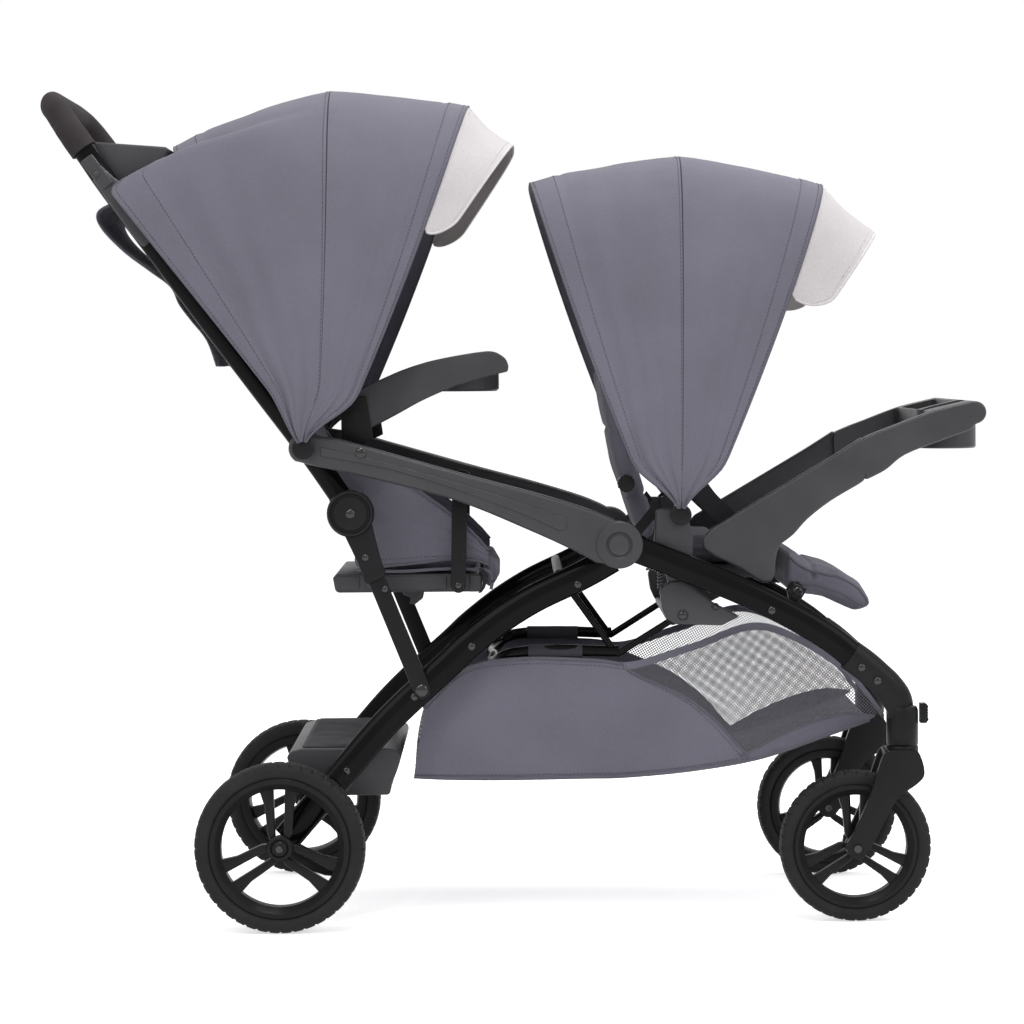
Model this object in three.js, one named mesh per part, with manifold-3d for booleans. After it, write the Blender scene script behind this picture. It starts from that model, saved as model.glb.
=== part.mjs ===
// Tandem stroller with a front seat, a rear bench seat and a standing platform.
// Units are millimetres. +X is the direction of travel, +Y is the far side, +Z is up.
// The origin lies on the ground below the middle of the stroller.

import * as THREE from 'three';
import Module from 'manifold-3d';
import { mergeVertices } from 'three/addons/utils/BufferGeometryUtils.js';

const wasm = await Module();
wasm.setup();

// Gap kept between pieces that touch
const GAP = 0.3;

// Pivots and wheel centres in the side view, as [x, z]
const HUB = [140, 502];
const ARM_PIVOT = [-272, 632];
const DISC = [-212, 546];
const LEG_PIVOT = [-121, 312];
const REAR_WHEEL = [-307, 112];
const FRONT_WHEEL = [450, 100];
const CASTER_X = 513;
const FRONT_CANOPY_HUB = [222, 540];
const SEAT_PIN = [216, 461];
const CALF_PIVOT = [376, 436];
const TRAY_PIVOT = [300, 500];
const GRIP_X = -607.3;
const GRIP_Z = 1086;
const REAR_TRAY_PIVOT = [-204, 672];
const REAR_KNOB = [-338, 722];
const FRONT_KNOB = [152, 580];

// Wheels and axles
const REAR_RADIUS = 112;
const FRONT_RADIUS = 100;
const REAR_TRACK_Y = 252;
const FRONT_TRACK_Y = 197;
const REAR_TYRE_WIDTH = 40;
const FRONT_TYRE_WIDTH = 36;
const REAR_TYRE_INNER = 92;
const FRONT_TYRE_INNER = 82;
const REAR_RING_INNER = 77;
const FRONT_RING_INNER = 68;
const REAR_HUB_RADIUS = 15;
const FRONT_HUB_RADIUS = 13;
const AXLE_RADIUS = 5;
const BORE_RADIUS = 5.4;
const SPOKE_ANGLES = [90, 210, 330];

// Layers across the width, each as [inner, outer] distance from the middle
const OUTER_LAYER = [198, 228];
const OUTER_TUBE_LAYER = [200, 222];
const UPRIGHT_LAYER = [198, 217];
const INNER_LAYER = [172, 194];
const SEAT_LAYER = [150, 168];
const LEG_FOOT_LAYER = [205, 227];
const TRAY_ARM_LAYER = [183, 199.5];
const SEAT_HALF_WIDTH = 148;
const WING_LAYER = [143.5, 147.5];
const HANGER_OUTER = 170.5;
const PARENT_TRAY_HALF_WIDTH = 166;
const BASKET_HALF_WIDTH = 164;
const BASKET_WALL = 4;
const PLATFORM_HALF_WIDTH = 178;
const DRAPE_HALF_WIDTH = 158;

// Half sizes of the tube sections
const TUBE_HALF_ACROSS = 11;
const REAR_LEG_HALF_HEIGHT = 19;
const FRONT_LEG_HALF_HEIGHT = 18;
const HANDLE_HALF_HEIGHT = 15.5;
const BAR_RADIUS = 9;
const GRIP_RADIUS = 16;

// Pins of the side frames and the holes they turn in
const MAIN_PIN_RADIUS = 8;
const MAIN_HOLE_RADIUS = 8.4;
const SMALL_PIN_RADIUS = 6;
const SMALL_HOLE_RADIUS = 6.4;
const SEAT_PIN_RADIUS = 5;
const KNOB_RADIUS = 12;
const HUB_COVER_RADIUS = 31;

// Cups: radius of the well and of its wall
const PARENT_CUP_RADIUS = 36;
const REAR_CUP = { centre: [-58, -92], well: 36, wall: 42 };
const FRONT_CUP = { centre: [585, -96], well: 34, wall: 40 };

// Canopies. Each line is a hoop of the cloth: its angle in degrees, its radius, what its upper corners add
// to both, and how far its foot is moved off the hub
const SQUARENESS = 0.42;
const CORNER_START = 0.74;
const CORNER_END = 0.88;
const CLOTH_THICKNESS = 2.5;
const CLOTH_SAG = 6;
const CLOTH_START = 0.0004;
const SEAM_DEGREES = 0.25;
const REAR_CANOPY = {
  halfWidth: 240,
  rear: { degrees: 113.5, radius: 440, cornerDegrees: 13.3, cornerRadius: 48, foot: -12 },
  middle: { degrees: 85.8, radius: 478, cornerDegrees: 0, cornerRadius: 0, foot: -18 },
  front: { degrees: 64.3, radius: 504, cornerDegrees: 0, cornerRadius: 0, foot: -36 },
  peak: { degrees: 55.3, radius: 489, cornerDegrees: 0, cornerRadius: 0, foot: 0 },
  visorStart: 0.117,
};
const FRONT_CANOPY = {
  halfWidth: 217,
  rear: { degrees: 113.6, radius: 484, cornerDegrees: 0, cornerRadius: 0, foot: 31 },
  middle: { degrees: 89.3, radius: 478, cornerDegrees: 0, cornerRadius: 0, foot: -2 },
  front: { degrees: 65.7, radius: 480, cornerDegrees: 0, cornerRadius: 0, foot: -26 },
  peak: { degrees: 54.3, radius: 461, cornerDegrees: 0, cornerRadius: 0, foot: 0 },
  visorStart: 0.128,
};

// Bows under the cloth: name, angle, radius and distance from the middle
const REAR_BOWS = [['middle', 85.8, 478, 231], ['front', 67.5, 492, 235.3]];
const FRONT_BOWS = [['rear', 107.7, 470, 203], ['middle', 88.4, 478, 207.3], ['front', 69.6, 477, 211.6]];
const BOW_RADIUS = 2;
const BOW_DROP = 8;
const BOW_HUB_RADIUS = 14;

// Cloth that hangs from the rear edge of the rear canopy, as [x, z] from top to bottom
const DRAPE = [[-443, 1001], [-460, 974], [-500, 963], [-535, 955], [-548, 942], [-540, 921],
  [-511, 891], [-478, 866],
  [-451, 845], [-440, 822], [-424, 800], [-404, 774], [-392, 740]];

// Materials
const dull = (color, roughness, metalness = 0) => (
  new THREE.MeshStandardMaterial({ color, roughness, metalness })
);
const satinBlack = () => dull(0x1b1b1d, 0.35, 0.5);
const blackPlastic = () => dull(0x2a2a2c, 0.6);
const charcoalPlastic = () => dull(0x3c3c40, 0.55);
const tyreFoam = () => dull(0x1d1d1e, 0.85);
const greyFabric = () => dull(0x6a6873, 0.9);
const paleFabric = () => dull(0xe3dedc, 0.9);
const gripFoam = () => dull(0x2e2a29, 0.95);
const greyRubber = () => dull(0x5d5d60, 0.9);
const steel = () => dull(0x8d8f92, 0.35, 0.9);

// Sum of signed tetrahedra, which is positive when the faces point out
function signedVolume(positions, index) {
  let sum = 0;
  const a = new THREE.Vector3();
  const b = new THREE.Vector3();
  const c = new THREE.Vector3();
  for (let i = 0; i < index.length; i += 3) {
    a.fromArray(positions, index[i] * 3);
    b.fromArray(positions, index[i + 1] * 3);
    c.fromArray(positions, index[i + 2] * 3);
    sum += a.dot(b.cross(c)) / 6;
  }
  return sum;
}

// Geometry as a solid with merged vertices and outward faces
function solid(geometry) {
  const plain = geometry.clone();
  plain.deleteAttribute('normal');
  plain.deleteAttribute('uv');
  const merged = mergeVertices(plain, 1e-4);
  const positions = merged.attributes.position.array;
  const faces = [];
  const index = merged.index.array;
  for (let i = 0; i < index.length; i += 3) {
    const [p, q, r] = [index[i], index[i + 1], index[i + 2]];
    if (p !== q && q !== r && p !== r) faces.push(p, q, r);
  }
  if (signedVolume(positions, faces) < 0) {
    for (let i = 0; i < faces.length; i += 3) [faces[i], faces[i + 1]] = [faces[i + 1], faces[i]];
  }
  const mesh = new wasm.Mesh({
    numProp: 3,
    vertProperties: new Float32Array(positions),
    triVerts: new Uint32Array(faces),
  });
  return new wasm.Manifold(mesh);
}

// Joins several geometries or solids into one solid
function join(...pieces) {
  const bodies = pieces.map((piece) => (piece.isBufferGeometry ? solid(piece) : piece));
  return bodies.reduce((sum, next) => sum.add(next));
}

// Takes geometries or solids away from a body
function cut(body, ...tools) {
  const start = body.isBufferGeometry ? solid(body) : body;
  return tools.reduce((rest, tool) => rest.subtract(tool.isBufferGeometry ? solid(tool) : tool), start);
}

// Solid or geometry as the geometry of a mesh
function shell(body) {
  const result = (body.isBufferGeometry ? solid(body) : body).getMesh();
  const geometry = new THREE.BufferGeometry();
  geometry.setAttribute('position', new THREE.BufferAttribute(new Float32Array(result.vertProperties), 3));
  geometry.setIndex(new THREE.BufferAttribute(new Uint32Array(result.triVerts), 1));
  return geometry;
}

const stroller = new THREE.Group();
stroller.name = 'stroller';

// Adds one named sub-part
function add(name, body, material) {
  const geometry = shell(body);
  geometry.computeVertexNormals();
  const mesh = new THREE.Mesh(geometry, material());
  mesh.name = name;
  stroller.add(mesh);
  return mesh;
}

// Adds a near-side sub-part and its mirror image on the far side
function addPair(name, body, material) {
  const near = body.isBufferGeometry ? solid(body) : body;
  add(`${name}_near`, near, material);
  add(`${name}_far`, near.mirror([0, 1, 0]), material);
}

// Outline in the side view as a plate between two places across the width
function plate(outline, yLow, yHigh) {
  const drawn = (corners) => new THREE.Shape(corners.map(([x, z]) => new THREE.Vector2(x, z)));
  const shape = outline instanceof THREE.Shape ? outline : drawn(outline);
  const options = { depth: yHigh - yLow, bevelEnabled: false, curveSegments: 6 };
  const geometry = new THREE.ExtrudeGeometry(shape, options);
  geometry.rotateX(Math.PI / 2);
  geometry.translate(0, yHigh, 0);
  return geometry;
}

// Plate on the near side, placed by its layer
const nearPlate = (outline, layer) => plate(outline, -layer[1], -layer[0]);

// Cylinder across the width
function crossRod(center, radius, yLow, yHigh, sides = 14) {
  const geometry = new THREE.CylinderGeometry(radius, radius, yHigh - yLow, sides);
  geometry.translate(center[0], (yLow + yHigh) / 2, center[1]);
  return geometry;
}

const nearDisc = (center, radius, layer, sides = 16) => crossRod(center, radius, -layer[1], -layer[0], sides);

// Upright cylinder
function post(x, y, zLow, zHigh, radius, sides = 16) {
  const geometry = new THREE.CylinderGeometry(radius, radius, zHigh - zLow, sides);
  geometry.rotateX(Math.PI / 2);
  geometry.translate(x, y, (zLow + zHigh) / 2);
  return geometry;
}

// Box given by its corners
function block(xLow, xHigh, yLow, yHigh, zLow, zHigh) {
  const geometry = new THREE.BoxGeometry(xHigh - xLow, yHigh - yLow, zHigh - zLow);
  geometry.translate((xLow + xHigh) / 2, (yLow + yHigh) / 2, (zLow + zHigh) / 2);
  return geometry;
}

// Oval section, half sizes across the width and in the side view
function oval(halfAcross, halfHeight, sides = 10) {
  const points = [];
  for (let i = 0; i < sides; i += 1) {
    const angle = (2 * Math.PI * i) / sides;
    points.push(new THREE.Vector2(halfAcross * Math.cos(angle), halfHeight * Math.sin(angle)));
  }
  return new THREE.Shape(points);
}

// Tube of a given section along points, smooth or with corners
function tube(points, section, steps, smooth = true) {
  const vectors = points.map(([x, y, z]) => new THREE.Vector3(x, y, z));
  let path = new THREE.CatmullRomCurve3(vectors, false, 'centripetal');
  if (!smooth) {
    path = new THREE.CurvePath();
    for (let i = 1; i < vectors.length; i += 1) path.add(new THREE.LineCurve3(vectors[i - 1], vectors[i]));
  }
  return new THREE.ExtrudeGeometry(section, { steps, bevelEnabled: false, extrudePath: path });
}

// Solid of revolution about an axis across the width, from [radius, y] points
function turned(center, profile, sides = 28) {
  const geometry = new THREE.LatheGeometry(profile.map(([r, y]) => new THREE.Vector2(r, y)), sides);
  geometry.translate(center[0], 0, center[1]);
  return geometry;
}

// Point at a distance and an angle in degrees from a centre, in the side view
function polar(center, radius, degrees) {
  const angle = THREE.MathUtils.degToRad(degrees);
  return [center[0] + radius * Math.cos(angle), center[1] + radius * Math.sin(angle)];
}

// Wheel disc with a ring, a hub and three twin spokes, turning about the origin
function wheelDisc(outerRadius, ringRadius, hubRadius, halfWidth) {
  const ring = turned([0, 0], [
    [ringRadius, -halfWidth + 4],
    [outerRadius, -halfWidth],
    [outerRadius, halfWidth],
    [ringRadius, halfWidth - 4],
    [ringRadius, -halfWidth + 4],
  ]);
  const hub = turned([0, 0], [
    [0, -halfWidth],
    [hubRadius, -halfWidth + 3],
    [hubRadius, halfWidth - 2],
    [0, halfWidth - 2],
  ], 20);
  const spokeHub = ringRadius * 0.26;
  const spokeRim = ringRadius * 0.37;
  const slot = ringRadius * 0.1;
  const reach = (outerRadius + ringRadius) / 2;
  const wideOutline = [[0, -spokeHub], [reach, -spokeRim], [reach, spokeRim], [0, spokeHub]];
  const slitNear = hubRadius + 4;
  const slitFar = ringRadius - 3;
  const slitOutline = [[slitNear, -slot], [slitFar, -slot * 1.5], [slitFar, slot * 1.5], [slitNear, slot]];
  const wide = plate(wideOutline, -halfWidth + 6, halfWidth - 8);
  const spoke = cut(wide, plate(slitOutline, -halfWidth, halfWidth));
  const spokes = SPOKE_ANGLES.map((degrees) => spoke.rotate([0, degrees, 0]));
  return cut(join(ring, hub, ...spokes), crossRod([0, 0], BORE_RADIUS, -halfWidth - 1, halfWidth + 1, 16));
}

// Tyre round a wheel disc
function tyre(innerRadius, outerRadius, halfWidth) {
  return turned([0, 0], [
    [innerRadius, -halfWidth + 3],
    [outerRadius - 6, -halfWidth],
    [outerRadius - 1.5, -halfWidth * 0.55],
    [outerRadius, 0],
    [outerRadius - 1.5, halfWidth * 0.55],
    [outerRadius - 6, halfWidth],
    [innerRadius, halfWidth - 3],
    [innerRadius, -halfWidth + 3],
  ]);
}

// Body made about the origin, moved to a wheel centre at a place across the width
function placedAt(body, center, y) {
  const start = body.isBufferGeometry ? solid(body) : body;
  return start.translate([center[0], y, center[1]]);
}

function addWheels() {
  const rearHalf = REAR_TYRE_WIDTH / 2;
  const rearDisc = wheelDisc(REAR_TYRE_INNER - GAP, REAR_RING_INNER, REAR_HUB_RADIUS, rearHalf - 2);
  const rearTyre = tyre(REAR_TYRE_INNER, REAR_RADIUS, rearHalf);
  addPair('rear_wheel', placedAt(rearDisc, REAR_WHEEL, -REAR_TRACK_Y), charcoalPlastic);
  addPair('rear_tyre', placedAt(rearTyre, REAR_WHEEL, -REAR_TRACK_Y), tyreFoam);
  const frontHalf = FRONT_TYRE_WIDTH / 2;
  const frontDisc = wheelDisc(FRONT_TYRE_INNER - GAP, FRONT_RING_INNER, FRONT_HUB_RADIUS, frontHalf - 2);
  const frontTyre = tyre(FRONT_TYRE_INNER, FRONT_RADIUS, frontHalf);
  addPair('front_wheel', placedAt(frontDisc, FRONT_WHEEL, -FRONT_TRACK_Y), charcoalPlastic);
  addPair('front_tyre', placedAt(frontTyre, FRONT_WHEEL, -FRONT_TRACK_Y), tyreFoam);
}

// Rear axle, both rear legs, and the standing platform that hangs between them
function addRearFrame() {
  const axle = crossRod(REAR_WHEEL, AXLE_RADIUS, -REAR_TRACK_Y - 24, REAR_TRACK_Y + 24, 16);
  add('rear_axle', axle, steel);
  const inner = -(INNER_LAYER[0] + INNER_LAYER[1]) / 2;
  const foot = -(LEG_FOOT_LAYER[0] + LEG_FOOT_LAYER[1]) / 2;
  const legTube = tube([
    [132, inner, 482],
    [102, inner, 465],
    [11, inner, 420],
    [-57, inner, 371],
    [-84, inner, 346],
    [-169, inner - 6, 268],
    [-235, foot + 4, 193],
    [-301, foot, 118],
  ], oval(TUBE_HALF_ACROSS, REAR_LEG_HALF_HEIGHT, 8), 11);
  const leg = join(legTube, nearDisc(HUB, 24, INNER_LAYER), nearDisc(REAR_WHEEL, 20, LEG_FOOT_LAYER));
  const hubHole = nearDisc(HUB, MAIN_HOLE_RADIUS, [150, 240], 16);
  const axleHole = nearDisc(REAR_WHEEL, BORE_RADIUS, [150, 280], 16);
  addPair('rear_leg', cut(leg, hubHole, axleHole), satinBlack);
  const deckOutline = [[-300, 223], [-284, 232], [-172, 232], [-152, 226], [-158, 196], [-164, 171],
    [-240, 171], [-290, 190]];
  const deck = plate(deckOutline, -PLATFORM_HALF_WIDTH, PLATFORM_HALF_WIDTH);
  const side = plate([[-262, 171], [-176, 171], [-230, 140], [-256, 140]], -198, -182);
  const rib = block(-262, -172, -190, 190, 171, 190);
  const clip = crossRod(REAR_WHEEL, 17, -160, 160, 20);
  const arms = [-140, 128].map((y) => plate([[-318, 118], [-296, 106], [-240, 172], [-290, 195]], y, y + 12));
  const axleSpace = crossRod(REAR_WHEEL, BORE_RADIUS, -300, 300, 16);
  const platform = cut(join(deck, rib, side, solid(side).mirror([0, 1, 0]), clip, ...arms), axleSpace);
  const legSpace = (y) => {
    const route = [[-84, y, 346], [-169, y, 268], [-235, y, 193], [-300, y, 118]];
    return tube(route, oval(40, REAR_LEG_HALF_HEIGHT + GAP), 12);
  };
  add('standing_platform', cut(platform, legSpace(-225), legSpace(225)), blackPlastic);
  const mat = plate([[-282, 232.3], [-176, 232.3], [-176, 236], [-282, 236]], -165, 165);
  add('platform_mat', mat, greyRubber);
}

// Side frame: arm housing with its hub, front leg and the parts at the caster
function addSideFrames() {
  const outline = new THREE.Shape();
  outline.moveTo(-270, 612);
  outline.lineTo(-68, 562);
  outline.lineTo(27, 520);
  outline.lineTo(83, 496);
  outline.lineTo(117, 468);
  outline.lineTo(150, 474);
  outline.absarc(HUB[0], HUB[1], HUB_COVER_RADIUS, -1.1, 1.15, false);
  outline.lineTo(118, 544);
  outline.lineTo(30, 571);
  outline.lineTo(-68, 597);
  outline.lineTo(-226, 644);
  outline.absarc(ARM_PIVOT[0], ARM_PIVOT[1], 20, 1.2, 4.6, false);
  const housing = nearPlate(outline, OUTER_LAYER);
  const hubPin = nearDisc(HUB, MAIN_PIN_RADIUS, [INNER_LAYER[0] - 4, OUTER_LAYER[0] + 2], 16);
  const hubCap = nearDisc(HUB, 15, [OUTER_LAYER[1] - 1, OUTER_LAYER[1] + 3]);
  const pivotHole = nearDisc(ARM_PIVOT, MAIN_HOLE_RADIUS, [INNER_LAYER[0] - 10, 260], 16);
  addPair('arm_housing', cut(join(housing, hubPin, hubCap), pivotHole), blackPlastic);

  const middle = -(OUTER_TUBE_LAYER[0] + OUTER_TUBE_LAYER[1]) / 2;
  const legTube = tube([
    [160, middle, 497],
    [220, middle, 473],
    [339, middle, 421],
    [421, middle, 373],
    [457, middle, 343],
  ], oval(TUBE_HALF_ACROSS, FRONT_LEG_HALF_HEIGHT, 8), 9);
  addPair('front_leg', cut(legTube, nearDisc(HUB, HUB_COVER_RADIUS + 2 * GAP, [190, 240], 32)), satinBlack);

  const postY = -FRONT_TRACK_Y;
  const sleeveRoute = [
    [448, middle + 2, 350],
    [478, middle + 4, 326],
    [504, postY, 296],
    [CASTER_X, postY, 268],
  ];
  const sleeve = tube(sleeveRoute, oval(14, 20, 10), 7);
  const boss = post(CASTER_X, postY, 233, 285, 21);
  const socketRoute = [[339, middle, 421], [421, middle, 373], [460, middle, 340]];
  const socket = tube(socketRoute, oval(TUBE_HALF_ACROSS + GAP, FRONT_LEG_HALF_HEIGHT + GAP, 8), 6);
  const stemHole = post(CASTER_X, postY, 225, 262, MAIN_HOLE_RADIUS, 16);
  addPair('front_elbow', cut(join(sleeve, boss), legTube, socket, stemHole), blackPlastic);
}

// Swivelling front forks with their axles, and the slides that lock them
function addCasters() {
  const y = -FRONT_TRACK_Y;
  const stem = post(CASTER_X, y, 225, 258, MAIN_PIN_RADIUS, 16);
  const collar = post(CASTER_X, y, 203, 232.5, 21);
  const crown = [[492, 212], [535, 212], [541, 186], [500, 160], [478, 190], [480, 222]];
  const arm = [[480, 224], [541, 190], [460, 92], [450, 88], [440, 92], [438, 105]];
  const outerArm = plate(arm, y - 34, y - 22);
  const innerArm = plate(arm, y + 22, y + 34);
  const wheelSpace = crossRod(FRONT_WHEEL, FRONT_RADIUS + 5, y - 21, y + 21, 40);
  const bridge = cut(plate(crown, y - 34, y + 34), wheelSpace);
  const axleHole = crossRod(FRONT_WHEEL, BORE_RADIUS, y - 50, y + 50, 16);
  const fork = cut(join(stem, collar, bridge, outerArm, innerArm), axleHole);
  addPair('caster_fork', fork, blackPlastic);
  addPair('front_axle', crossRod(FRONT_WHEEL, AXLE_RADIUS, y - 38, y + 38, 16), steel);
  const lock = block(536, 547, y - 8, y + 8, 262, 288);
  addPair('swivel_lock', lock, charcoalPlastic);
}

addWheels();
addRearFrame();
addSideFrames();
addCasters();

// Handle frame that turns about the arm pivot, with its foam grip and parent tray
function addHandle() {
  const y = -(INNER_LAYER[0] + INNER_LAYER[1]) / 2;
  const section = oval(TUBE_HALF_ACROSS, HANDLE_HALF_HEIGHT, 8);
  const path = [
    [-212, y, 546],
    [-268, y, 628],
    [-400, y, 806],
    [-530, y, 984],
  ];
  const side = tube(path, section, 5);
  const boss = nearDisc(DISC, 27, INNER_LAYER);
  const eye = nearDisc(ARM_PIVOT, 22, INNER_LAYER);
  const pin = nearDisc(ARM_PIVOT, MAIN_PIN_RADIUS, [INNER_LAYER[0], OUTER_LAYER[1]], 16);
  const bracket = nearPlate([[-545, 1002], [-528, 1010], [-492, 968], [-508, 950], [-524, 952]], [168, 197]);
  const half = join(side, boss, eye, pin, bracket);
  const bendHalf = [
    [-530, y, 990],
    [-552, y, 1020],
    [-578, y + 4, 1052],
    [-596, y + 20, 1077],
    [GRIP_X, y + 50, GRIP_Z],
  ];
  const gripHalf = [[-575, y + 3, 1048], ...bendHalf.slice(3)];
  const across = (half) => {
    const mirrored = half.map(([px, py, pz]) => [px, -py, pz]).reverse();
    return [...half, [GRIP_X, 0, GRIP_Z], ...mirrored];
  };
  const bend = tube(across(bendHalf), oval(BAR_RADIUS, BAR_RADIUS, 8), 16);
  const bendSpace = tube(across(bendHalf), oval(BAR_RADIUS + GAP, BAR_RADIUS + GAP, 8), 16);
  add('handle_frame', join(half, half.mirror([0, 1, 0]), bend), satinBlack);
  const grip = tube(across(gripHalf), oval(GRIP_RADIUS, GRIP_RADIUS, 8), 13);
  add('handle_grip', cut(grip, bendSpace), gripFoam);
}

// Parent tray with two cup wells and a middle bin
function addParentTray() {
  const outline = [[-553, 1036], [-452, 1030], [-450, 1022], [-470, 990], [-520, 978], [-548, 1004]];
  const body = plate(outline, -PARENT_TRAY_HALF_WIDTH, PARENT_TRAY_HALF_WIDTH);
  const wells = [-112, 112].map((y) => post(-500, y, 988, 1060, PARENT_CUP_RADIUS, 24));
  const bin = block(-536, -466, -62, 62, 996, 1060);
  add('parent_tray', cut(body, ...wells, bin), blackPlastic);
}

// Lower upright with its round disc; the open pivot of the fold is between this disc and the handle's boss
function addUprights() {
  const outline = new THREE.Shape();
  outline.moveTo(-197, 552);
  outline.lineTo(-172, 470);
  outline.lineTo(-112, 322);
  outline.absarc(LEG_PIVOT[0], LEG_PIVOT[1], 13, 0.4, -2.6, true);
  outline.lineTo(-196, 462);
  outline.lineTo(-226, 538);
  const web = nearPlate(outline, UPRIGHT_LAYER);
  const disc = nearDisc(DISC, 31, [UPRIGHT_LAYER[0], 224], 28);
  const upright = cut(join(web, disc), nearDisc(LEG_PIVOT, SMALL_HOLE_RADIUS, [150, 260], 14));
  addPair('lower_upright', upright, satinBlack);
}

// Rear bench seat: base with its hangers, cushion with side wings, backrest and recline knob
function addRearSeat() {
  const w = SEAT_HALF_WIDTH;
  const base = block(-240, -40, -w, w, 436, 462);
  const hook = (y) => block(-150, -118, y - 8, y + 8, 416, 440);
  const hanger = nearPlate([[-78, 590], [-58, 584], [-62, 436], [-82, 436]], [163, HANGER_OUTER]);
  const foot = block(-84, -60, -HANGER_OUTER, -w + 2, 436, 458);
  const head = block(-80, -58, -OUTER_LAYER[0] + GAP, -163, 566, 586);
  const side = join(hanger, foot, head);
  add('rear_seat_base', join(base, hook(-100), hook(100), side, side.mirror([0, 1, 0])), blackPlastic);
  const wing = nearPlate([[-204, 470], [-214, 508], [-232, 556], [-240, 600], [-222, 620], [-149, 588],
    [-96, 552],
    [-56, 519], [-32, 492], [-32, 470]], WING_LAYER);
  const wingFoot = block(-200, -36, -WING_LAYER[1], -WING_LAYER[0] + 8, 466, 490);
  const wings = join(wing, wingFoot);
  const pad = cushion([[-226, -30], [463, 506]], w - 4, 14);
  add('rear_seat_pad', join(pad, wings, wings.mirror([0, 1, 0])), greyFabric);
  const backOutline = [[-228, 512], [-205, 516], [-268, 664], [-372, 868], [-392, 858], [-292, 660]];
  const back = plate(backOutline, -w + 6, w - 6);
  add('rear_backrest', back, greyFabric);
  const knob = nearDisc(REAR_KNOB, KNOB_RADIUS, [w + 2, w + 18]);
  const stub = nearDisc(REAR_KNOB, SMALL_PIN_RADIUS, [w - 8, w + 4], 14);
  add('rear_recline_knob', join(knob, cut(stub, back)), blackPlastic);
}

// Rear child tray: two curved arms with a tray across them, and the mounts they turn on
function addRearTray() {
  const side = new THREE.Shape();
  side.moveTo(-217, 700);
  side.bezierCurveTo(-190, 716, -140, 736, -76, 751);
  side.lineTo(-26, 757);
  side.bezierCurveTo(-16, 757, -10, 748, -4, 732);
  side.lineTo(-26, 726);
  side.lineTo(-66, 714);
  side.bezierCurveTo(-110, 700, -150, 680, -165, 668);
  side.lineTo(-194, 654);
  side.lineTo(-217, 662);
  const arm = nearPlate(side, SEAT_LAYER);
  const topOutline = [[-100, 744], [-76, 751], [-26, 757], [-12, 750], [-6, 732], [-30, 726],
    [-60, 717], [-96, 706]];
  const top = plate(topOutline, -151, 151);
  const cupBody = post(...REAR_CUP.centre, 704, 740, REAR_CUP.wall, 24);
  const cup = post(...REAR_CUP.centre, 710, 780, REAR_CUP.well, 24);
  const dish = block(-88, -24, -30, 130, 728, 790);
  const pivotHole = nearDisc(REAR_TRAY_PIVOT, SMALL_HOLE_RADIUS, [140, 200], 14);
  const arms = join(arm, solid(arm).mirror([0, 1, 0]));
  const tray = cut(join(arms, top, cupBody), cup, dish, pivotHole, solid(pivotHole).mirror([0, 1, 0]));
  add('rear_child_tray', tray, blackPlastic);
  const mountOutline = [[-226, 700], [-190, 700], [-182, 640], [-214, 626], [-226, 632]];
  const mount = nearPlate(mountOutline, [SEAT_LAYER[1] + GAP, INNER_LAYER[0] - GAP]);
  const pin = nearDisc(REAR_TRAY_PIVOT, SMALL_PIN_RADIUS, [SEAT_LAYER[0], SEAT_LAYER[1] + 2], 14);
  addPair('rear_tray_mount', join(mount, pin), blackPlastic);
}

// Cushion with a crowned top, drawn-in sides and sewn channels
function cushion([[xLow, xHigh], [zLow, zHigh]], halfWidth, crown) {
  const columns = 10;
  const rows = 6;
  const positions = [];
  const index = [];
  const topZ = (u, v) => {
    const edge = Math.sin(Math.PI * u) ** 0.35 * Math.sin(Math.PI * v) ** 0.35;
    const channel = 1 - 0.35 * Math.exp(-(((u - 0.5) * 14) ** 2));
    return zHigh - crown + crown * edge * channel;
  };
  const place = (u, v) => {
    const pull = 3 * Math.sin(Math.PI * u);
    const y = -halfWidth + 2 * halfWidth * v;
    const x = xLow + (xHigh - xLow) * u;
    return [x, y - Math.sign(v - 0.5) * pull * Math.abs(2 * v - 1) ** 4];
  };
  for (const side of [0, 1]) {
    for (let i = 0; i <= columns; i += 1) {
      for (let j = 0; j <= rows; j += 1) {
        const [x, y] = place(i / columns, j / rows);
        positions.push(x, y, side ? topZ(i / columns, j / rows) : zLow);
      }
    }
  }
  const at = (side, i, j) => side * (columns + 1) * (rows + 1) + i * (rows + 1) + j;
  const quad = (a, b, c, d) => index.push(a, b, c, a, c, d);
  for (let i = 0; i < columns; i += 1) {
    for (let j = 0; j < rows; j += 1) {
      quad(at(1, i, j), at(1, i + 1, j), at(1, i + 1, j + 1), at(1, i, j + 1));
      quad(at(0, i, j), at(0, i, j + 1), at(0, i + 1, j + 1), at(0, i + 1, j));
    }
  }
  for (let i = 0; i < columns; i += 1) {
    quad(at(0, i, 0), at(0, i + 1, 0), at(1, i + 1, 0), at(1, i, 0));
    quad(at(0, i + 1, rows), at(0, i, rows), at(1, i, rows), at(1, i + 1, rows));
  }
  for (let j = 0; j < rows; j += 1) {
    quad(at(0, 0, j + 1), at(0, 0, j), at(1, 0, j), at(1, 0, j + 1));
    quad(at(0, columns, j), at(0, columns, j + 1), at(1, columns, j + 1), at(1, columns, j));
  }
  const geometry = new THREE.BufferGeometry();
  geometry.setAttribute('position', new THREE.Float32BufferAttribute(positions, 3));
  geometry.setIndex(index);
  return geometry;
}

addHandle();
addParentTray();
addUprights();
addRearSeat();
addRearTray();

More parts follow.
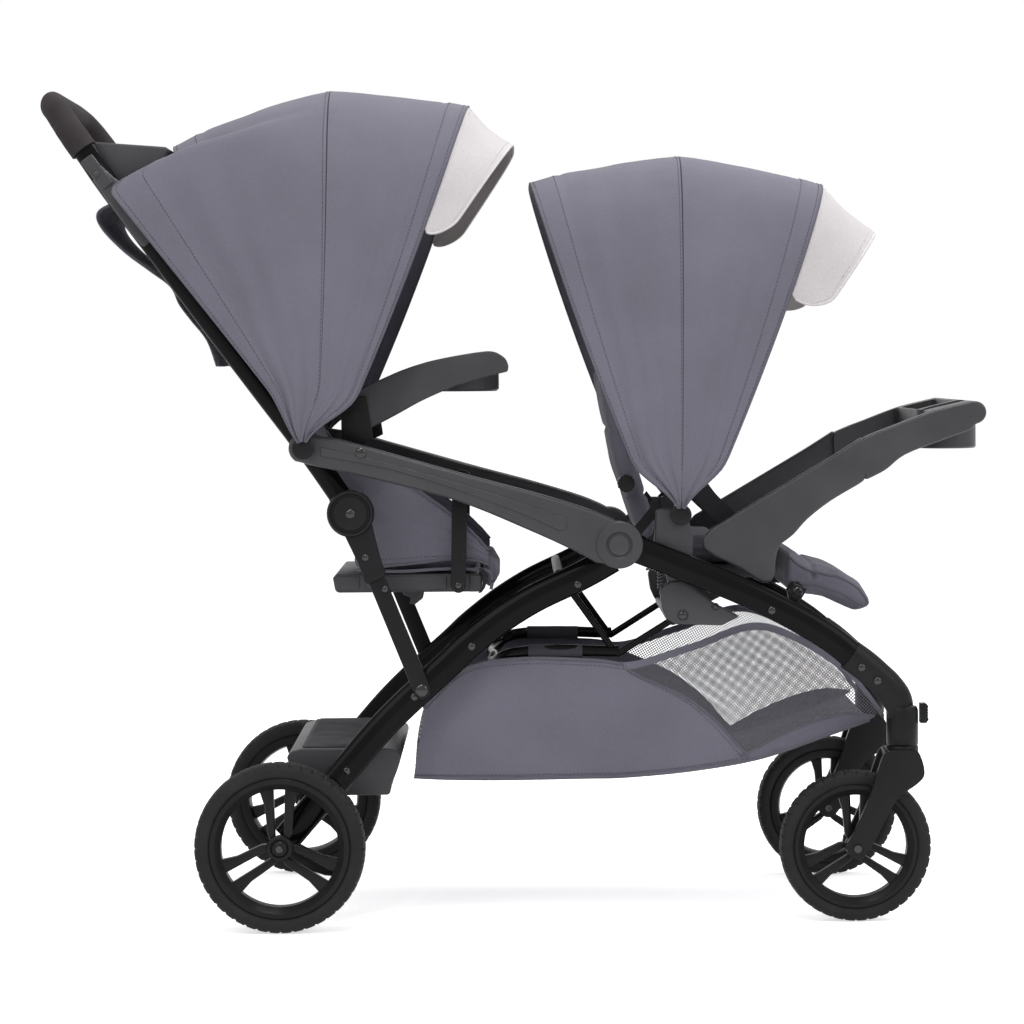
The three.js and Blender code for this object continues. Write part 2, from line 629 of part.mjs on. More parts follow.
// Front seat: pad, backrest, calf rest and the mounts on the front leg
function addFrontSeat() {
  const bracketOutline = [[192, 442], [207, 452], [226, 454], [262, 424], [300, 404], [275, 392],
    [213, 394], [198, 410]];
  const bracket = nearPlate(bracketOutline, [176, 199.5]);
  const mountOutline = [[189, 548], [229, 548], [240, 510], [238, 478], [196, 478], [186, 500]];
  const mount = nearPlate(mountOutline, [170, 199.5]);
  const tie = nearPlate([[196, 480], [236, 480], [236, 440], [206, 440]], [176, 196]);
  const hub = nearDisc(FRONT_CANOPY_HUB, 11, [168, 200.5], 16);
  const seatPin = nearDisc(SEAT_PIN, SEAT_PIN_RADIUS, [SEAT_HALF_WIDTH - 8, 180], 12);
  addPair('front_seat_mount', join(bracket, mount, tie, hub, seatPin), blackPlastic);
  const w = SEAT_HALF_WIDTH;
  const board = block(196, 352, -w, w, 452, 470);
  const hole = solid(nearDisc(SEAT_PIN, SEAT_PIN_RADIUS + GAP, [100, 200], 12));
  add('front_seat_base', cut(board, hole, hole.mirror([0, 1, 0])), blackPlastic);
  add('front_seat_pad', cushion([[204, 350], [471, 508]], w - 4, 12), greyFabric);
  const backOutline = [[196, 500], [172, 490], [138, 600], [112, 742], [134, 748], [166, 610], [198, 512]];
  const back = plate(backOutline, -w + 6, w - 6);
  add('front_backrest', back, greyFabric);
  const reclineKnob = nearDisc(FRONT_KNOB, KNOB_RADIUS, [w + 2, w + 18]);
  const stub = nearDisc(FRONT_KNOB, SMALL_PIN_RADIUS, [w - 8, w + 4], 14);
  add('front_recline_knob', join(reclineKnob, cut(stub, back)), blackPlastic);
  const calf = [[362, 492], [392, 468], [438, 456], [470, 436], [488, 409], [470, 402], [416, 426],
    [378, 432], [360, 440]];
  const pad = plate(calf, -w + 8, w - 8);
  add('calf_rest', cut(pad, crossRod(CALF_PIVOT, 5.4, -200, 200, 14)), greyFabric);
  const rod = crossRod(CALF_PIVOT, 5, -199.6, 199.6, 14);
  const knob = solid(nearDisc(CALF_PIVOT, KNOB_RADIUS, [w, w + 14], 20));
  const link = solid(nearPlate([[372, 448], [390, 440], [380, 424], [366, 420], [362, 434]], [176, 196]));
  add('calf_rest_rod', join(rod, knob, knob.mirror([0, 1, 0]), link, link.mirror([0, 1, 0])), blackPlastic);
}

// Front child tray: two arms rising from the front leg and a tray across them
function addFrontTray() {
  const arm = [[262, 521], [300, 543], [380, 590], [463, 639], [470, 600], [464, 582], [420, 556],
    [372, 512], [356, 500],
    [346, 480], [344, 452], [330, 448], [300, 468], [262, 486]];
  const side = nearPlate(arm, TRAY_ARM_LAYER);
  const front = new THREE.Shape();
  front.moveTo(464, 638);
  front.lineTo(505, 655);
  front.lineTo(562, 675);
  front.lineTo(608, 685);
  front.absarc(610.6, 671, 15, 1.2, -0.6, true);
  front.lineTo(606, 648);
  front.lineTo(562, 633);
  front.lineTo(518, 616);
  front.lineTo(492, 596);
  front.lineTo(466, 583);
  const cross = plate(front, -TRAY_ARM_LAYER[1], TRAY_ARM_LAYER[1]);
  const cupBody = post(...FRONT_CUP.centre, 622, 660, FRONT_CUP.wall, 24);
  const cup = post(...FRONT_CUP.centre, 630, 720, FRONT_CUP.well, 24);
  const dish = block(552, 604, -40, 150, 656, 720);
  const childSpace = block(430, 552, -176, 176, 500, 700);
  const tray = cut(join(side, solid(side).mirror([0, 1, 0]), cross, cupBody), cup, dish, childSpace);
  const legRoute = [[160, -211, 497], [220, -211, 473], [339, -211, 421], [421, -211, 373]];
  const legSpace = solid(tube(legRoute, oval(TUBE_HALF_ACROSS + GAP, FRONT_LEG_HALF_HEIGHT + GAP), 8));
  const hinge = solid(nearDisc(TRAY_PIVOT, SMALL_HOLE_RADIUS, [150, 240], 14));
  const spaces = [legSpace, legSpace.mirror([0, 1, 0]), hinge, hinge.mirror([0, 1, 0])];
  add('front_child_tray', cut(tray, ...spaces), blackPlastic);
}

// Basket hoop, its rods and struts below the seats
function addBasketFrame() {
  const hoop = tube([
    [140, -150, 356], [20, -150, 357], [-8, -146, 352], [-24, -120, 340], [-26, 0, 338],
      [-24, 120, 340], [-8, 146, 352],
    [20, 150, 357], [140, 150, 356],
  ], oval(8, 8, 6), 16);
  const rod = tube([[60, -150, 462], [138, -150, 352]], oval(3, 5, 6), 1);
  const strut = tube([[212, -156, 398], [138, -152, 352]], oval(5, 8, 6), 1);
  const spar = crossRod([62, 460], 7, -165, 165, 12);
  const bar = crossRod([212, 400], 8, -175.5, 175.5, 14);
  const half = [rod, strut].map((piece) => solid(piece));
  const otherHalf = half.map((piece) => piece.mirror([0, 1, 0]));
  add('basket_hoop', join(hoop, ...half, ...otherHalf, spar, bar), satinBlack);
}

// Storage basket, a thin shell open at the top
function addBasket() {
  const outer = [[-134, 190], [-118, 284], [-64, 336], [10, 349], [108, 346], [159, 342], [240, 366],
    [333, 392],
    [442, 322], [484, 272], [474, 262], [375, 226], [295, 204], [166, 190], [-24, 187]];
  const inner = [[-130, 194], [-114, 284], [-64, 420], [110, 420], [333, 420], [480, 330], [478, 276],
    [470, 266],
    [375, 230], [295, 208], [166, 194], [-24, 191]];
  const insideHalf = BASKET_HALF_WIDTH - BASKET_WALL;
  const body = plate(outer, -BASKET_HALF_WIDTH, BASKET_HALF_WIDTH);
  add('basket', cut(body, plate(inner, -insideHalf, insideHalf)), greyFabric);
}

// Brake pedal on the rear axle
function addBrake() {
  const outline = [[-318, 96], [-296, 88], [-268, 66], [-228, 62], [-224, 72], [-262, 82], [-284, 108],
    [-300, 124], [-316, 120]];
  const pedal = plate(outline, -180, -165);
  const tread = plate([[-272, 70], [-228, 62], [-224, 72], [-264, 84]], -196, -130);
  const barrel = crossRod(REAR_WHEEL, 16, -180, -165, 20);
  const axleHole = crossRod(REAR_WHEEL, BORE_RADIUS, -210, -120, 16);
  add('brake_pedal', cut(join(pedal, tread, barrel), axleHole), blackPlastic);
}

// Even places bunched towards both ends
const eased = (t) => (1 - Math.cos(Math.PI * t)) / 2;

// Point on a bow or hoop: angle in degrees, radius, half width and a place round it from 0 to 1
function hoopPoint(center, degrees, radius, halfWidth, place) {
  const turn = Math.PI * place;
  const reach = Math.cos(turn);
  const [x, z] = polar(center, radius * Math.sin(turn) ** SQUARENESS, degrees);
  return [x, -halfWidth * Math.sign(reach) * Math.abs(reach) ** SQUARENESS, z];
}

// Line between two hoops of cloth at a share of the way from the first to the second
function lineBetween(from, to, share) {
  const line = {};
  Object.keys(from).forEach((key) => {
    line[key] = from[key] + (to[key] - from[key]) * share;
  });
  return line;
}

// Point on a hoop of cloth, with its raised corners and its foot moved off the hub
function clothPoint(center, line, halfWidth, place) {
  const reach = Math.abs(Math.cos(Math.PI * place)) ** SQUARENESS;
  const rise = Math.sin(Math.PI * place) ** SQUARENESS;
  const corner = THREE.MathUtils.smoothstep(reach, CORNER_START, CORNER_END);
  const degrees = line.degrees + line.cornerDegrees * corner;
  const [x, y, z] = hoopPoint(center, degrees, line.radius + line.cornerRadius * corner, halfWidth, place);
  const [shiftX, shiftZ] = polar([0, 0], line.foot * (1 - rise ** 2), degrees + 90);
  return [x + shiftX, y, z + shiftZ];
}

// Closed shell from two equal grids of points, the outer and the inner face
function sheetShell(outer, inner) {
  const rows = outer.length - 1;
  const columns = outer[0].length - 1;
  const positions = [...outer, ...inner].flat(2);
  const index = [];
  const at = (side, i, j) => side * (rows + 1) * (columns + 1) + i * (columns + 1) + j;
  const quad = (a, b, c, d) => index.push(a, b, c, a, c, d);
  for (let i = 0; i < rows; i += 1) {
    for (let j = 0; j < columns; j += 1) {
      quad(at(0, i, j), at(0, i + 1, j), at(0, i + 1, j + 1), at(0, i, j + 1));
      quad(at(1, i, j), at(1, i, j + 1), at(1, i + 1, j + 1), at(1, i + 1, j));
    }
    quad(at(0, i + 1, 0), at(0, i, 0), at(1, i, 0), at(1, i + 1, 0));
    quad(at(0, i, columns), at(0, i + 1, columns), at(1, i + 1, columns), at(1, i, columns));
  }
  for (let j = 0; j < columns; j += 1) {
    quad(at(0, 0, j), at(0, 0, j + 1), at(1, 0, j + 1), at(1, 0, j));
    quad(at(0, rows, j + 1), at(0, rows, j), at(1, rows, j), at(1, rows, j + 1));
  }
  const geometry = new THREE.BufferGeometry();
  geometry.setAttribute('position', new THREE.Float32BufferAttribute(positions, 3));
  geometry.setIndex(index);
  return geometry;
}

// Cloth between two hoops as a thin closed shell
function gore(center, from, to, halfWidth, start = CLOTH_START, taper = () => 1) {
  const spans = 4;
  const steps = 16;
  const face = (inset) => Array.from({ length: spans + 1 }, (_, i) => (
    Array.from({ length: steps + 1 }, (__, j) => {
      const place = start + (1 - 2 * start) * eased(j / steps);
      const share = (i / spans) * taper(j / steps);
      const line = lineBetween(from, to, share);
      line.radius -= inset + CLOTH_SAG * Math.sin(Math.PI * share);
      return clothPoint(center, line, halfWidth - inset, place);
    })
  ));
  return sheetShell(face(0), face(CLOTH_THICKNESS));
}

// Cloth that hangs behind the rear canopy, below the parent tray
function drape(center, line, halfWidth) {
  const steps = 4;
  const edge = (y) => {
    const place = Math.acos(Math.abs(y / halfWidth) ** (1 / SQUARENESS)) / Math.PI;
    const [x, , z] = clothPoint(center, line, halfWidth, place);
    return [x + 0.6, z - 1.2];
  };
  const face = (inset) => [null, ...DRAPE].map((point) => (
    Array.from({ length: steps + 1 }, (_, j) => {
      const y = DRAPE_HALF_WIDTH * ((2 * j) / steps - 1);
      const [x, z] = point || edge(y);
      return [x + inset, y, z + inset / 3];
    })
  ));
  return sheetShell(face(0), face(CLOTH_THICKNESS));
}

// Strip bent into a hoop under the cloth, with its two hub discs
function bow(center, degrees, radius, halfWidth, sideY) {
  const inset = halfWidth - sideY;
  const spans = 20;
  const points = [[center[0], -sideY, center[1]]];
  for (let i = 1; i < spans; i += 1) {
    points.push(hoopPoint(center, degrees, radius - inset - BOW_DROP, sideY, eased(i / spans)));
  }
  points.push([center[0], sideY, center[1]]);
  const strip = tube(points, oval(BOW_RADIUS, BOW_RADIUS, 5), 15);
  const disc = nearDisc(center, BOW_HUB_RADIUS, [sideY - BOW_RADIUS, sideY + BOW_RADIUS], 20);
  return join(strip, disc, solid(disc).mirror([0, 1, 0]));
}

// Peak of pale cloth on the front edge of a canopy, narrow at both ends
function visor(center, from, to, halfWidth, start) {
  const taper = (t) => 0.16 + 0.84 * THREE.MathUtils.smoothstep(Math.min(t, 1 - t), 0, 0.16);
  return gore(center, from, to, halfWidth, start, taper);
}

// Canopy of two gores over three hoops, with a peak in front
function addCanopy(prefix, center, sizes, bows, hanging) {
  const { halfWidth, rear, middle, front, peak, visorStart } = sizes;
  const moved = (line, degrees) => ({ ...line, degrees: line.degrees + degrees });
  const rearCover = gore(center, rear, moved(middle, SEAM_DEGREES), halfWidth);
  const back = hanging ? join(rearCover, drape(center, rear, halfWidth)) : rearCover;
  add(`${prefix}_rear_cover`, back, greyFabric);
  add(`${prefix}_front_cover`, gore(center, moved(middle, -SEAM_DEGREES), front, halfWidth), greyFabric);
  add(`${prefix}_visor`, visor(center, moved(front, -SEAM_DEGREES), peak, halfWidth, visorStart), paleFabric);
  bows.forEach(([name, degrees, radius, sideY]) => {
    add(`${prefix}_${name}_bow`, bow(center, degrees, radius, halfWidth, sideY), charcoalPlastic);
  });
}

addFrontSeat();
addFrontTray();
addBasketFrame();
addBasket();
addBrake();
addCanopy('rear_canopy', ARM_PIVOT, REAR_CANOPY, REAR_BOWS, true);
addCanopy('front_canopy', FRONT_CANOPY_HUB, FRONT_CANOPY, FRONT_BOWS, false);

export default stroller;
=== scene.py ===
"""Looks of a sit and stand stroller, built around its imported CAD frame.

+X is the direction of travel, -Y is the side nearest the camera and +Z is up. Sizes in calls are millimetres.
Widths of bevels, points of meshes and places of the camera and the lamps are metres. Angles are degrees.
"""

import logging
from contextlib import contextmanager
from dataclasses import dataclass, replace
from enum import Enum
from math import acos, atan2, ceil, copysign, cos, exp, hypot, pi, radians, sin
from typing import Callable, ClassVar, Iterable, Iterator, Sequence

import bpy
from mathutils import Matrix, Vector, noise
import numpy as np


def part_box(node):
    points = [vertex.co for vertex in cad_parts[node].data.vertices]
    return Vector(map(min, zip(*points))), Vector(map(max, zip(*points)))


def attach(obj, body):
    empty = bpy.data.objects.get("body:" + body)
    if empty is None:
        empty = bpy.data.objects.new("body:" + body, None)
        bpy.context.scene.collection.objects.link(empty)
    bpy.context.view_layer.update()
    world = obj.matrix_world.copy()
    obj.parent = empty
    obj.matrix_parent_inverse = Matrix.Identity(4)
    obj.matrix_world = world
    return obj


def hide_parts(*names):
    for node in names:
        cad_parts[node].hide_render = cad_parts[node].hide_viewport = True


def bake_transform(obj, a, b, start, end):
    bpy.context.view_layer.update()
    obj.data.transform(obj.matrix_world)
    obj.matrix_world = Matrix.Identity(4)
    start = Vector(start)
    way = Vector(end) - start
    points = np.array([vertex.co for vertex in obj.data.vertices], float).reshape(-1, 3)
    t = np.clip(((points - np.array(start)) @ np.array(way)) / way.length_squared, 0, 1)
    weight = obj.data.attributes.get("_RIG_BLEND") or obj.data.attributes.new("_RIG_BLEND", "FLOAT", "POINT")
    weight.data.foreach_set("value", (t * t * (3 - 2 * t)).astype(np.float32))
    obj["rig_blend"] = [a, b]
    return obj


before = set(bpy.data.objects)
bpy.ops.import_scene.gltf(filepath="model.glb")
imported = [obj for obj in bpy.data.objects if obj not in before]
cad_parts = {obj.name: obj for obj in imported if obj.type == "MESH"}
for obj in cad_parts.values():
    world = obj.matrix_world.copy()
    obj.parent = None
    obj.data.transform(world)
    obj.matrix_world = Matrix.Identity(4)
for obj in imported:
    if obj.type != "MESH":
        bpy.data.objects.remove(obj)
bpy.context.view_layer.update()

logging.basicConfig(level=logging.INFO, format="%(message)s")
log = logging.getLogger("stroller")

MM = 0.001
NEAR = -1
FAR = 1

Point2 = tuple[float, float]
Point3 = tuple[float, float, float]
Piece = bpy.types.Object
Socket = bpy.types.NodeSocket
Face = Callable[[float, float], Point3]
Field = Callable[[float, float], float]


class Side(Enum):
    """Side of the stroller, with the sign of its place across the width."""

    NEAR = -1
    FAR = 1

    @property
    def word(self) -> str:
        """Name of the side in lower case."""
        return self.name.lower()


def toned(colour: Point3, gain: float, lift: float = 0.0) -> Point3:
    """A colour with each channel multiplied and raised, at most 1."""
    return tuple(min(1, channel * gain + lift) for channel in colour)


def swell(x: float, y: float, z: float) -> float:
    """Smooth noise at three coordinates."""
    return noise.noise(Vector((x, y, z)))


def across(side: int, inner: float, outer: float) -> list[float]:
    """Low and high place across the width, between two distances from the middle on one side."""
    return sorted((side * inner, side * outer))


def at_width(line: Iterable[Point2], y: float) -> list[Point3]:
    """Side-view points at one place across the width."""
    return [(x, y, z) for x, z in line]


def rectangle(x0: float, z0: float, x1: float, z1: float) -> list[Point2]:
    """Corners of an upright rectangle."""
    return [(x0, z0), (x1, z0), (x1, z1), (x0, z1)]


def both_sides(half: Sequence[Point3]) -> list[Point3]:
    """Route from the near side to the far one, from points as (along, up, distance from the middle)."""
    return [(x, -y, z) for x, z, y in half] + [(x, y, z) for x, z, y in reversed(half)]


def along(line: Sequence[Point2], share: float) -> Point2:
    """Point at a share of a line's steps."""
    at = min(max(share, 0), 1) * (len(line) - 1)
    i = min(int(at), len(line) - 2)
    return tuple(a + (b - a) * (at - i) for a, b in zip(line[i], line[i + 1]))


class Nodes:
    """Short hand for building a node tree."""

    def __init__(self, tree: bpy.types.NodeTree) -> None:
        """Empties the tree."""
        self.nodes = tree.nodes
        self.links = tree.links
        self.nodes.clear()

    def node(self, kind: str, **values: object) -> bpy.types.Node:
        """Adds a node and sets its properties."""
        made = self.nodes.new("ShaderNode" + kind)
        for key, value in values.items():
            setattr(made, key, value)
        return made

    def link(self, source: Socket, target: Socket) -> None:
        """Links one socket to another."""
        self.links.new(source, target)

    def maths(self, operation: str, a: object, b: object = 0.0) -> Socket:
        """Adds a maths node."""
        node = self.node("Math", operation=operation)
        for index, value in enumerate((a, b)):
            if isinstance(value, (int, float)):
                node.inputs[index].default_value = value
            else:
                self.link(value, node.inputs[index])
        return node.outputs[0]


class Tree(Nodes):
    """Short hand for building one material's nodes."""

    def __init__(self, name: str) -> None:
        """Starts an empty material with its output and main shader."""
        self.material = bpy.data.materials.new(name)
        self.material.use_nodes = True
        super().__init__(self.material.node_tree)
        output = self.node("OutputMaterial")
        self.shader = self.node("BsdfPrincipled")
        self.link(self.shader.outputs["BSDF"], output.inputs["Surface"])
        self.coordinates = self.node("TexCoord")

    def noise(self, scale: float, detail: float = 3.0, stretch: Point3 = (1, 1, 1)) -> Socket:
        """Adds a noise pattern on object coordinates."""
        mapping = self.node("Mapping")
        mapping.inputs["Scale"].default_value = stretch
        self.link(self.coordinates.outputs["Object"], mapping.inputs["Vector"])
        texture = self.node("TexNoise")
        texture.inputs["Scale"].default_value = scale
        texture.inputs["Detail"].default_value = detail
        self.link(mapping.outputs["Vector"], texture.inputs["Vector"])
        return texture.outputs["Fac"]

    def tint(self, pattern: Socket, dark: Point3, light: Point3, start: float, end: float) -> None:
        """Runs the base colour from a dark tone to a light one along a pattern."""
        node = self.node("ValToRGB")
        for element, place, colour in zip(node.color_ramp.elements, (start, end), (dark, light)):
            element.position = place
            element.color = (*colour, 1)
        self.link(pattern, node.inputs["Fac"])
        self.link(node.outputs["Color"], self.shader.inputs["Base Color"])

    def rough(self, pattern: Socket, low: float, high: float) -> None:
        """Runs the roughness between two values along a pattern."""
        node = self.node("MapRange")
        node.inputs["To Min"].default_value = low
        node.inputs["To Max"].default_value = high
        self.link(pattern, node.inputs["Value"])
        self.link(node.outputs["Result"], self.shader.inputs["Roughness"])

    def bump(self, height: Socket, strength: float, distance: float) -> None:
        """Adds a bump to the shader's normal, on top of any earlier one."""
        node = self.node("Bump")
        node.inputs["Strength"].default_value = strength
        node.inputs["Distance"].default_value = distance
        self.link(height, node.inputs["Height"])
        earlier = self.shader.inputs["Normal"].links
        if earlier:
            self.link(earlier[0].from_socket, node.inputs["Normal"])
        self.link(node.outputs["Normal"], self.shader.inputs["Normal"])

    def set(self, **values: object) -> None:
        """Sets uniform values on the shader's own sockets, with underscores for spaces in their names."""
        for key, value in values.items():
            self.shader.inputs[key.replace("_", " ")].default_value = value


@dataclass(frozen=True)
class PaintedTube:
    """Satin powder coat on the frame tubes."""

    name: str = "satin_black_paint"
    colour: Point3 = (0.003, 0.003, 0.0033)
    roughness: float = 0.15
    grain: float = 900.0

    def make(self) -> bpy.types.Material:
        """Builds the material."""
        tree = Tree(self.name)
        patches = tree.noise(9, 4)
        lighter = toned(self.colour, 1.7)
        tree.tint(patches, self.colour, lighter, 0.3, 0.75)
        tree.rough(tree.noise(60, 5), self.roughness - 0.05, self.roughness + 0.09)
        tree.set(Metallic=0, Specular_IOR_Level=0.05, Coat_Weight=0.035, Coat_Roughness=0.06)
        tree.bump(tree.noise(self.grain, 2), 0.12, 0.00012)
        return tree.material


@dataclass(frozen=True)
class MouldedPlastic:
    """Injection-moulded plastic with a fine spark grain and worn high spots."""

    name: str
    colour: Point3
    roughness: float = 0.45
    grain: float = 1500.0
    depth: float = 0.00012
    shine: float = 0.2

    def make(self) -> bpy.types.Material:
        """Builds the material."""
        tree = Tree(self.name)
        cloud = tree.noise(14, 5)
        lighter = toned(self.colour, 1.35, 0.002)
        tree.tint(cloud, self.colour, lighter, 0.3, 0.8)
        tree.rough(tree.noise(110, 4), self.roughness - 0.07, self.roughness + 0.1)
        tree.set(Specular_IOR_Level=self.shine)
        tree.bump(tree.noise(self.grain, 3), 0.3, self.depth)
        return tree.material


@dataclass(frozen=True)
class WovenCloth:
    """Woven polyester with a fine warp and weft, soft wrinkles and sheen."""

    name: str
    colour: Point3
    thread: float = 0.0011
    wrinkle: float = 0.0012
    sheen: float = 0.25

    def make(self) -> bpy.types.Material:
        """Builds the material."""
        tree = Tree(self.name)
        separate = tree.node("SeparateXYZ")
        tree.link(tree.coordinates.outputs["Object"], separate.inputs["Vector"])
        across = tree.maths("ADD", separate.outputs["X"], separate.outputs["Y"])
        waves = []
        for axis in (across, separate.outputs["Z"]):
            turned = tree.maths("MULTIPLY", axis, 2 * pi / self.thread)
            wave = tree.maths("SINE", turned)
            waves.append(tree.maths("MULTIPLY_ADD", wave, 0.5))
            waves[-1].node.inputs[2].default_value = 0.5
        threads = tree.maths("MULTIPLY", waves[0], waves[1])
        fuzz = tree.noise(420, 6)
        cloud = tree.noise(7, 3)
        mixed = tree.maths("ADD", tree.maths("MULTIPLY", cloud, 0.62), tree.maths("MULTIPLY", fuzz, 0.38))
        dark = toned(self.colour, 0.84)
        light = toned(self.colour, 1.16)
        tree.tint(mixed, dark, light, 0.3, 0.7)
        tree.rough(cloud, 0.78, 0.92)
        tree.set(Sheen_Weight=self.sheen, Sheen_Roughness=0.45, Specular_IOR_Level=0.25)
        tree.bump(tree.noise(26, 3, (1, 1, 0.55)), 0.35, self.wrinkle)
        tree.bump(threads, 0.35, 0.00018)
        tree.bump(fuzz, 0.2, 0.00012)
        return tree.material


@dataclass(frozen=True)
class OpenNet:
    """Black knitted net whose holes are see-through."""

    name: str = "basket_net"
    colour: Point3 = (0.062, 0.06, 0.07)
    pitch: float = 0.0031
    hole: float = 0.13
    turned: float = 45.0

    def make(self) -> bpy.types.Material:
        """Builds the material."""
        tree = Tree(self.name)
        mapping = tree.node("Mapping")
        mapping.inputs["Rotation"].default_value = (0, radians(self.turned), 0)
        tree.link(tree.coordinates.outputs["Object"], mapping.inputs["Vector"])
        separate = tree.node("SeparateXYZ")
        tree.link(mapping.outputs["Vector"], separate.inputs["Vector"])
        squares = []
        for axis in ("X", "Z"):
            wave = tree.maths("SINE", tree.maths("MULTIPLY", separate.outputs[axis], pi / self.pitch))
            squares.append(tree.maths("MULTIPLY", wave, wave))
        open_part = tree.maths("MULTIPLY", squares[0], squares[1])
        solid_part = tree.maths("LESS_THAN", open_part, self.hole)
        tree.link(solid_part, tree.shader.inputs["Alpha"])
        tone = tree.noise(180, 3)
        lighter = toned(self.colour, 1.7)
        tree.tint(tone, self.colour, lighter, 0.3, 0.7)
        tree.rough(tone, 0.6, 0.8)
        tree.bump(open_part, 0.5, 0.0004)
        return tree.material


@dataclass(frozen=True)
class FoamRubber:
    """Foam or rubber with small pores and scuffed patches."""

    name: str
    colour: Point3
    roughness: float = 0.8
    pore: float = 700.0
    depth: float = 0.0003

    def make(self) -> bpy.types.Material:
        """Builds the material."""
        tree = Tree(self.name)
        cloud = tree.noise(24, 5)
        lighter = toned(self.colour, 1.8, 0.003)
        tree.tint(cloud, self.colour, lighter, 0.32, 0.78)
        tree.rough(cloud, self.roughness - 0.1, self.roughness + 0.08)
        tree.set(Specular_IOR_Level=0.18)
        tree.bump(tree.noise(self.pore, 4), 0.45, self.depth)
        return tree.material


@dataclass(frozen=True)
class Look:
    """A material with the slot of the record that it belongs to."""

    material: bpy.types.Material
    slot: str


class Finishes:
    """All materials of the stroller, made once."""

    def __init__(self) -> None:
        """Builds every finish."""
        self.tube = Look(PaintedTube().make(), "frame_tube")
        self.rivet = Look(
            MouldedPlastic("gloss_black_rivet", (0.004, 0.004, 0.0045), 0.1, 300, 0.00003, 0.5).make(),
            "black_plastic")
        self.black = Look(
            MouldedPlastic("black_plastic", (0.006, 0.006, 0.0066), 0.36, shine=0.13).make(), "black_plastic")
        self.charcoal = Look(
            MouldedPlastic("charcoal_plastic", (0.0325, 0.032, 0.0352), 0.42, shine=0.26).make(),
            "charcoal_plastic")
        self.wheel = Look(
            MouldedPlastic("wheel_plastic", (0.0065, 0.0065, 0.007), 0.33, shine=0.12).make(),
            "charcoal_plastic")
        self.tyre = Look(FoamRubber("tyre_foam", (0.008, 0.008, 0.0085), 0.68, 900, 0.0002).make(), "tyre")
        self.grip = Look(
            FoamRubber("grip_foam", (0.021, 0.0175, 0.0185), 0.88, 800, 0.0004).make(), "foam_grip")
        self.mat = Look(
            FoamRubber("platform_rubber", (0.055, 0.055, 0.058), 0.82, 500, 0.0003).make(), "grey_rubber")
        self.cloth = Look(WovenCloth("grey_cloth", (0.122, 0.1175, 0.146), sheen=0.1).make(), "grey_fabric")
        self.lining = Look(WovenCloth("dark_cloth", (0.028, 0.027, 0.032), sheen=0.1).make(), "grey_fabric")
        self.piping = Look(
            WovenCloth("piping_cloth", (0.098, 0.094, 0.115), 0.0008, 0.0003, 0.1).make(), "grey_fabric")
        self.pale = Look(
            WovenCloth("pale_cloth", (0.46, 0.437, 0.443), 0.001, 0.0008, 0.12).make(), "pale_fabric")
        self.visor_lining = Look(
            WovenCloth("visor_lining", (0.34, 0.31, 0.305), 0.001, 0.0006, 0.1).make(), "pale_fabric")
        self.visor_rim = Look(
            WovenCloth("visor_rim", (0.52, 0.49, 0.495), 0.0008, 0.0003, 0.1).make(), "pale_fabric")
        self.webbing = Look(
            WovenCloth("webbing", (0.017, 0.017, 0.019), 0.0016, 0.0002, 0.05).make(), "grey_fabric")
        self.stitch = Look(
            WovenCloth("stitching", (0.052, 0.05, 0.06), 0.0006, 0.0001, 0.1).make(), "grey_fabric")
        self.net = Look(OpenNet().make(), "grey_fabric")
        self.far_net = Look(OpenNet("basket_far_net", turned=31).make(), "grey_fabric")


class Cut:
    """A piece of cloth, with its face kept for what is sewn on it."""

    def __init__(self, piece: Piece, columns: int, rows: int, mesh: bpy.types.Mesh) -> None:
        """Measures the face before it gets its thickness."""
        self.piece = piece
        self.columns = columns
        self.rows = rows
        self.points = [vertex.co.copy() for vertex in mesh.vertices]
        self.normals = [vertex.normal.copy() for vertex in mesh.vertices]
        self.area = sum(face.area for face in mesh.polygons)
        across = [self.length([self.at(i / columns, v) for i in range(columns + 1)]) for v in (0, 0.5, 1)]
        along = [self.length([self.at(u, j / rows) for j in range(rows + 1)])
            for u in (0, 0.25, 0.5, 0.75, 1)]
        self.flat = (max(across), max(max(along), self.area / max(across)))

    @staticmethod
    def length(line: Sequence[Vector]) -> float:
        """Length of a line of points."""
        return sum((b - a).length for a, b in zip(line, line[1:]))

    def at(self, u: float, v: float, lift: float = 0.0) -> Vector:
        """Point of the face at two shares, lifted off it by some millimetres."""
        x = min(max(u, 0), 1) * self.columns
        y = min(max(v, 0), 1) * self.rows
        i, j = min(int(x), self.columns - 1), min(int(y), self.rows - 1)
        point, normal = Vector(), Vector()
        for di, dj in ((0, 0), (1, 0), (0, 1), (1, 1)):
            weight = (x - i if di else 1 - x + i) * (y - j if dj else 1 - y + j)
            index = (j + dj) * (self.columns + 1) + i + di
            point += self.points[index] * weight
            normal += self.normals[index] * weight
        return point + normal.normalized() * (lift * MM)

    def line(self, v: float, start: float, end: float, lift: float, steps: int = 200) -> list[Vector]:
        """Line over the face along the first direction."""
        return [self.at(start + (end - start) * i / steps, v, lift) for i in range(steps + 1)]

    def declare(self, held: str, sewn: Sequence[Piece] = ()) -> None:
        """Does nothing with the piece."""


